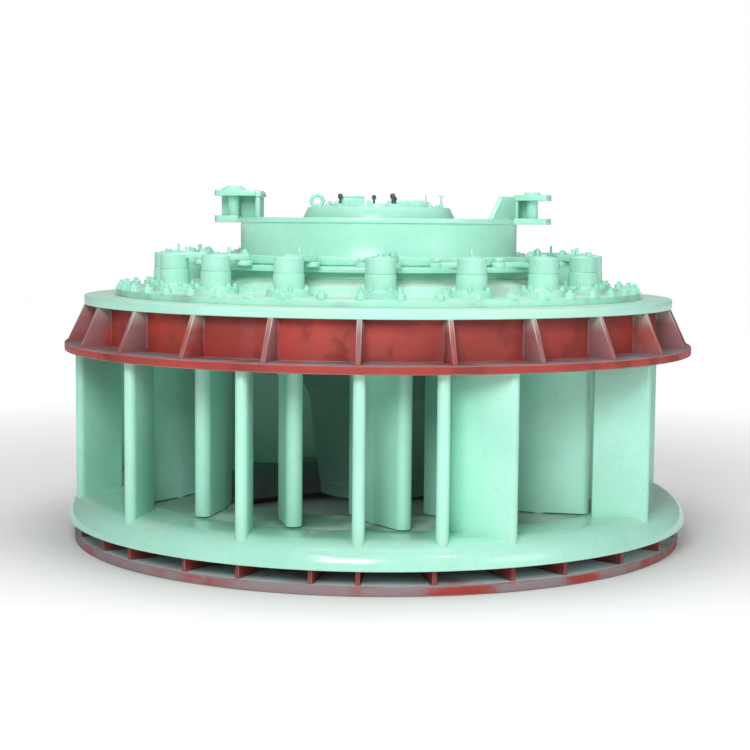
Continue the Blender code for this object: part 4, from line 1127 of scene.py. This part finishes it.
def leaf_outline(nose_steps=10, tail_steps=16):
    """Plan of a guide vane's leaf about its stem, nose towards +X: a round nose and a thin tail."""
    centre = LEAF_NOSE - LEAF_NOSE_RADIUS
    upper = [(centre + LEAF_NOSE_RADIUS * ahead, LEAF_NOSE_RADIUS * across)
             for ahead, across in arc(nose_steps, math.pi / 2)[1:]]
    for k in range(tail_steps + 1):
        share = k / tail_steps
        half = LEAF_EDGE + (LEAF_HALF - LEAF_EDGE) * (1.0 - share ** LEAF_TAPER)
        upper.append((-LEAF_TAIL * share, half))
    return [(LEAF_NOSE, 0.0)] + upper + [(x, -half) for x, half in upper[::-1]]


def lever_tip():
    turn = math.radians(LEVER_REST)
    return Vector((-LEVER * math.cos(turn), LEVER * math.sin(turn), 0.0))


def arm_outline(steps=12):
    """Plan of the lever's arm, from the hub to round its pin."""
    tip = lever_tip()
    along = tip.normalized()
    side = Vector((-along.y, along.x, 0.0))
    points = [side * (-ARM_ROOT / 2), side * (ARM_ROOT / 2)]
    points += [tip + (side * across + along * ahead) * ARM_TIP for across, ahead in arc(steps)]
    return [(point.x, point.y) for point in points]


class TURBINE_OT_guide_vanes(bpy.types.Operator):
    """Guide vanes: leaf, stems, hub and lever"""
    bl_idname = "turbine.guide_vanes"
    bl_label = "Guide vanes"

    def execute(self, context):
        small = sizes().small_steps
        leaf = prism("leaf", leaf_outline(), LEAF_FOOT, LEAF_TOP)
        leaf.data.transform(Matrix.Rotation(math.radians(GUIDE_LEAN), 4, "Z"))
        softened(leaf, 0.002, 1, 60.0)
        lower = prism("lower", circle(LOWER_STEM, small), VANE_FOOT, LEAF_FOOT + OVERLAP)
        stem = prism("stem", circle(STEM, small), LEAF_TOP - OVERLAP, HUB_FOOT + OVERLAP)
        cap = [(radius, HUB_TOP + rise) for radius, rise in HUB_CAP]
        hub = turned("hub", cap + [(HUB_RADIUS - HUB_EDGE, HUB_TOP), (HUB_RADIUS, HUB_TOP - HUB_EDGE),
                                   (HUB_RADIUS, HUB_FOOT + HUB_LIP), (HUB_RADIUS - HUB_LIP, HUB_FOOT),
                                   (0.0, HUB_FOOT)], small, closed=False)
        arm = softened(prism("arm", arm_outline(), ARM_FOOT, VANE_TOP), 0.003, 2, 50.0)
        tip = lever_tip()
        pin = prism("pin", circle(PIN_RADIUS, 20, (tip.x, tip.y)), LEVER_PIN_FOOT,
                    ARM_FOOT + OVERLAP)
        pin_head = hex_nut("pin_head", *LEVER_NUT)
        pin_head.data.transform(Matrix.Translation((tip.x, tip.y, VANE_TOP)))
        centre = hex_nut("centre", *HUB_NUT)
        centre.data.transform(Matrix.Translation((0.0, 0.0, HUB_TOP + HUB_CAP[0][1])))
        vane = joined("guide_vane", [leaf, lower, stem, hub, arm, pin, pin_head, centre])
        for k, azimuth in enumerate(guide_azimuths()):
            radius, rise = POSTS[k % len(POSTS)]
            head = VANE_TOP + rise
            post = turned("post", [(0.0, head), (radius - POST_CROWN, head), (radius, head - POST_EDGE),
                                   (radius, POST_FOOT), (0.0, POST_FOOT)], 16, closed=False)
            post.data.transform(Matrix.Translation(tip * POST_SHARE))
            piece = joined("guide_vane_copy", [twin(vane, "guide_vane_copy", Matrix.Identity(4)), post])
            copy = twin(piece, f"vane_{k + 1:02d}_leaf", at(azimuth, GUIDE_CIRCLE))
            bpy.data.objects.remove(piece, do_unlink=True)
            finished(copy, f"vane_{k + 1:02d}", "guide_vane",
                     [f"guide_vane_{k + 1:02d}"], bevel=0)
        bpy.data.objects.remove(vane, do_unlink=True)
        return {"FINISHED"}


class TURBINE_OT_links(bpy.types.Operator):
    """Links from the operating ring to the levers"""
    bl_idname = "turbine.links"
    bl_label = "Links"

    def execute(self, context):
        turn = math.radians(PIN_OFFSET)
        pin = Vector((PIN_CIRCLE * math.cos(turn), PIN_CIRCLE * math.sin(turn), 0.0))
        end = Vector((GUIDE_CIRCLE, 0.0, 0.0)) + lever_tip() - pin
        side = Vector((-end.y, end.x, 0.0)).normalized() * (LINK_BAR / 2)
        bar = prism("bar", [(spot.x, spot.y) for spot in (-side, end - side, end + side, side)],
                    LINK_FOOT, LINK_TOP)
        near = prism("near", circle(EYE_RADIUS, 28), LINK_FOOT, LINK_TOP)
        far = prism("far", circle(OPEN_EYE_RADIUS, 32, (end.x, end.y)), LINK_FOOT, LINK_TOP)
        combined(bar, near, "UNION")
        combined(bar, far, "UNION")
        for outline in (circle(PIN_RADIUS + PIN_ROOM, 24), circle(OPEN_HOLE, 28, (end.x, end.y))):
            hole = prism("hole", outline, LINK_FOOT - OVERLAP, LINK_TOP + OVERLAP)
            combined(bar, hole, "DIFFERENCE")
        link = softened(named(bar, "link"), 0.002, 2, 50.0)
        for k, azimuth in enumerate(guide_azimuths()):
            place = Matrix.Translation(PIN_CIRCLE * radial(azimuth + PIN_OFFSET)) @ at(azimuth)
            copy = twin(link, f"link_{k + 1:02d}_bar", place)
            finished(copy, f"link_body_{k + 1:02d}", "link", [f"link_{k + 1:02d}"],
                     bevel=0)
        bpy.data.objects.remove(link, do_unlink=True)
        return {"FINISHED"}


class TURBINE_OT_stage(bpy.types.Operator):
    """Pale floor, soft studio light and the camera"""
    bl_idname = "turbine.stage"
    bl_label = "Stage"

    def execute(self, context):
        only(None)
        bpy.ops.mesh.primitive_plane_add(size=sizes().floor, location=(0, 0, FLOOR_LEVEL))
        floor = named(bpy.context.object, "floor")
        pale = bpy.data.materials.new("pale_floor")
        pale.use_nodes = True
        tree = pale.node_tree
        away = tree.nodes.new("ShaderNodeVectorMath")
        away.operation = "LENGTH"
        feed(tree, away.inputs[0], node(tree, "TexCoord").outputs["Object"])
        # The floor glows from GLOW_NEAR outwards, up to GLOW at GLOW_FAR: painted light that keeps the far
        # floor as white as the backdrop.
        glow = node(tree, "MapRange", Value=away.outputs["Value"], From_Min=GLOW_NEAR,
                    From_Max=GLOW_FAR, To_Max=GLOW)
        for socket, value in (("Base Color", FLOOR_COLOUR), ("Roughness", 0.9), ("Emission Color", WHITE),
                              ("Emission Strength", glow.outputs["Result"])):
            feed(tree, tree.nodes["Principled BSDF"].inputs[socket], value)
        floor.data.materials.append(pale)
        world = bpy.data.worlds.new("studio")
        world.use_nodes = True
        tree = world.node_tree
        seen = node(tree, "LightPath").outputs["Is Camera Ray"]
        strength = node(tree, "MapRange", Value=seen, To_Min=STUDIO_LIGHT, To_Max=STUDIO_SEEN)
        feed(tree, tree.nodes["Background"].inputs["Color"], WHITE)
        feed(tree, tree.nodes["Background"].inputs["Strength"], strength.outputs["Result"])
        bpy.context.scene.world = world
        bpy.context.scene.view_settings.view_transform = "Standard"
        for lamp in LAMPS:
            self.light(*lamp)
        self.camera()
        return {"FINISHED"}

    def light(self, name, place, power, size):
        """A square soft box aimed at the middle of the turbine."""
        data = bpy.data.lights.new(name, "AREA")
        data.energy = power
        data.size = size
        lamp = bpy.data.objects.new(name, data)
        lamp.location = place
        lamp.rotation_euler = (AIM - Vector(place)).to_track_quat("-Z", "Y").to_euler()
        bpy.context.scene.collection.objects.link(lamp)

    def camera(self):
        data = bpy.data.cameras.new("camera")
        data.lens = CAMERA_LENS
        data.sensor_width = CAMERA_SENSOR
        camera = bpy.data.objects.new("camera", data)
        camera.matrix_world = (Matrix.Translation(CAMERA_PLACE)
                               @ Matrix.Rotation(math.radians(90.0 - CAMERA_PITCH), 4, "X")
                               @ Matrix.Rotation(math.radians(CAMERA_ROLL), 4, "Z"))
        bpy.context.scene.collection.objects.link(camera)
        bpy.context.scene.camera = camera


PIECES = (
    TURBINE_OT_base_ring, TURBINE_OT_stay_ring, TURBINE_OT_stay_vanes, TURBINE_OT_upper_ring,
    TURBINE_OT_top_plate, TURBINE_OT_head_cover, TURBINE_OT_inner_head_cover, TURBINE_OT_inner_cover,
    TURBINE_OT_lifting_eye, TURBINE_OT_operating_ring, TURBINE_OT_ears, TURBINE_OT_guide_vanes,
    TURBINE_OT_links, TURBINE_OT_stage,
)


class TURBINE_PT_panel(bpy.types.Panel):
    """Lists the turbine's sizes, colours and pieces"""
    bl_idname = "TURBINE_PT_panel"
    bl_label = "Turbine distributor"
    bl_space_type = "VIEW_3D"
    bl_region_type = "UI"
    bl_category = "Turbine"

    def draw(self, context):
        for group in (context.scene.turbine_sizes, context.scene.turbine_colours):
            for key in group.bl_rna.properties.keys():
                if key not in ("rna_type", "name"):
                    self.layout.prop(group, key)
        for piece in PIECES:
            self.layout.operator(piece.bl_idname)


CLASSES = (TurbineColours, TurbineSizes) + PIECES + (TURBINE_PT_panel,)


def register():
    for kind in CLASSES:
        bpy.utils.register_class(kind)
    bpy.types.Scene.turbine_colours = bpy.props.PointerProperty(type=TurbineColours)
    bpy.types.Scene.turbine_sizes = bpy.props.PointerProperty(type=TurbineSizes)


def unregister():
    del bpy.types.Scene.turbine_sizes
    del bpy.types.Scene.turbine_colours
    for kind in reversed(CLASSES):
        bpy.utils.unregister_class(kind)


def main():
    register()
    bpy.ops.turbine.base_ring()
    bpy.ops.turbine.stay_ring()
    bpy.ops.turbine.stay_vanes()
    bpy.ops.turbine.upper_ring()
    bpy.ops.turbine.top_plate()
    bpy.ops.turbine.head_cover()
    bpy.ops.turbine.inner_head_cover()
    bpy.ops.turbine.inner_cover()
    bpy.ops.turbine.lifting_eye()
    bpy.ops.turbine.operating_ring()
    bpy.ops.turbine.ears()
    bpy.ops.turbine.guide_vanes()
    bpy.ops.turbine.links()
    bpy.ops.turbine.stage()


if __name__ == "__main__":
    main()
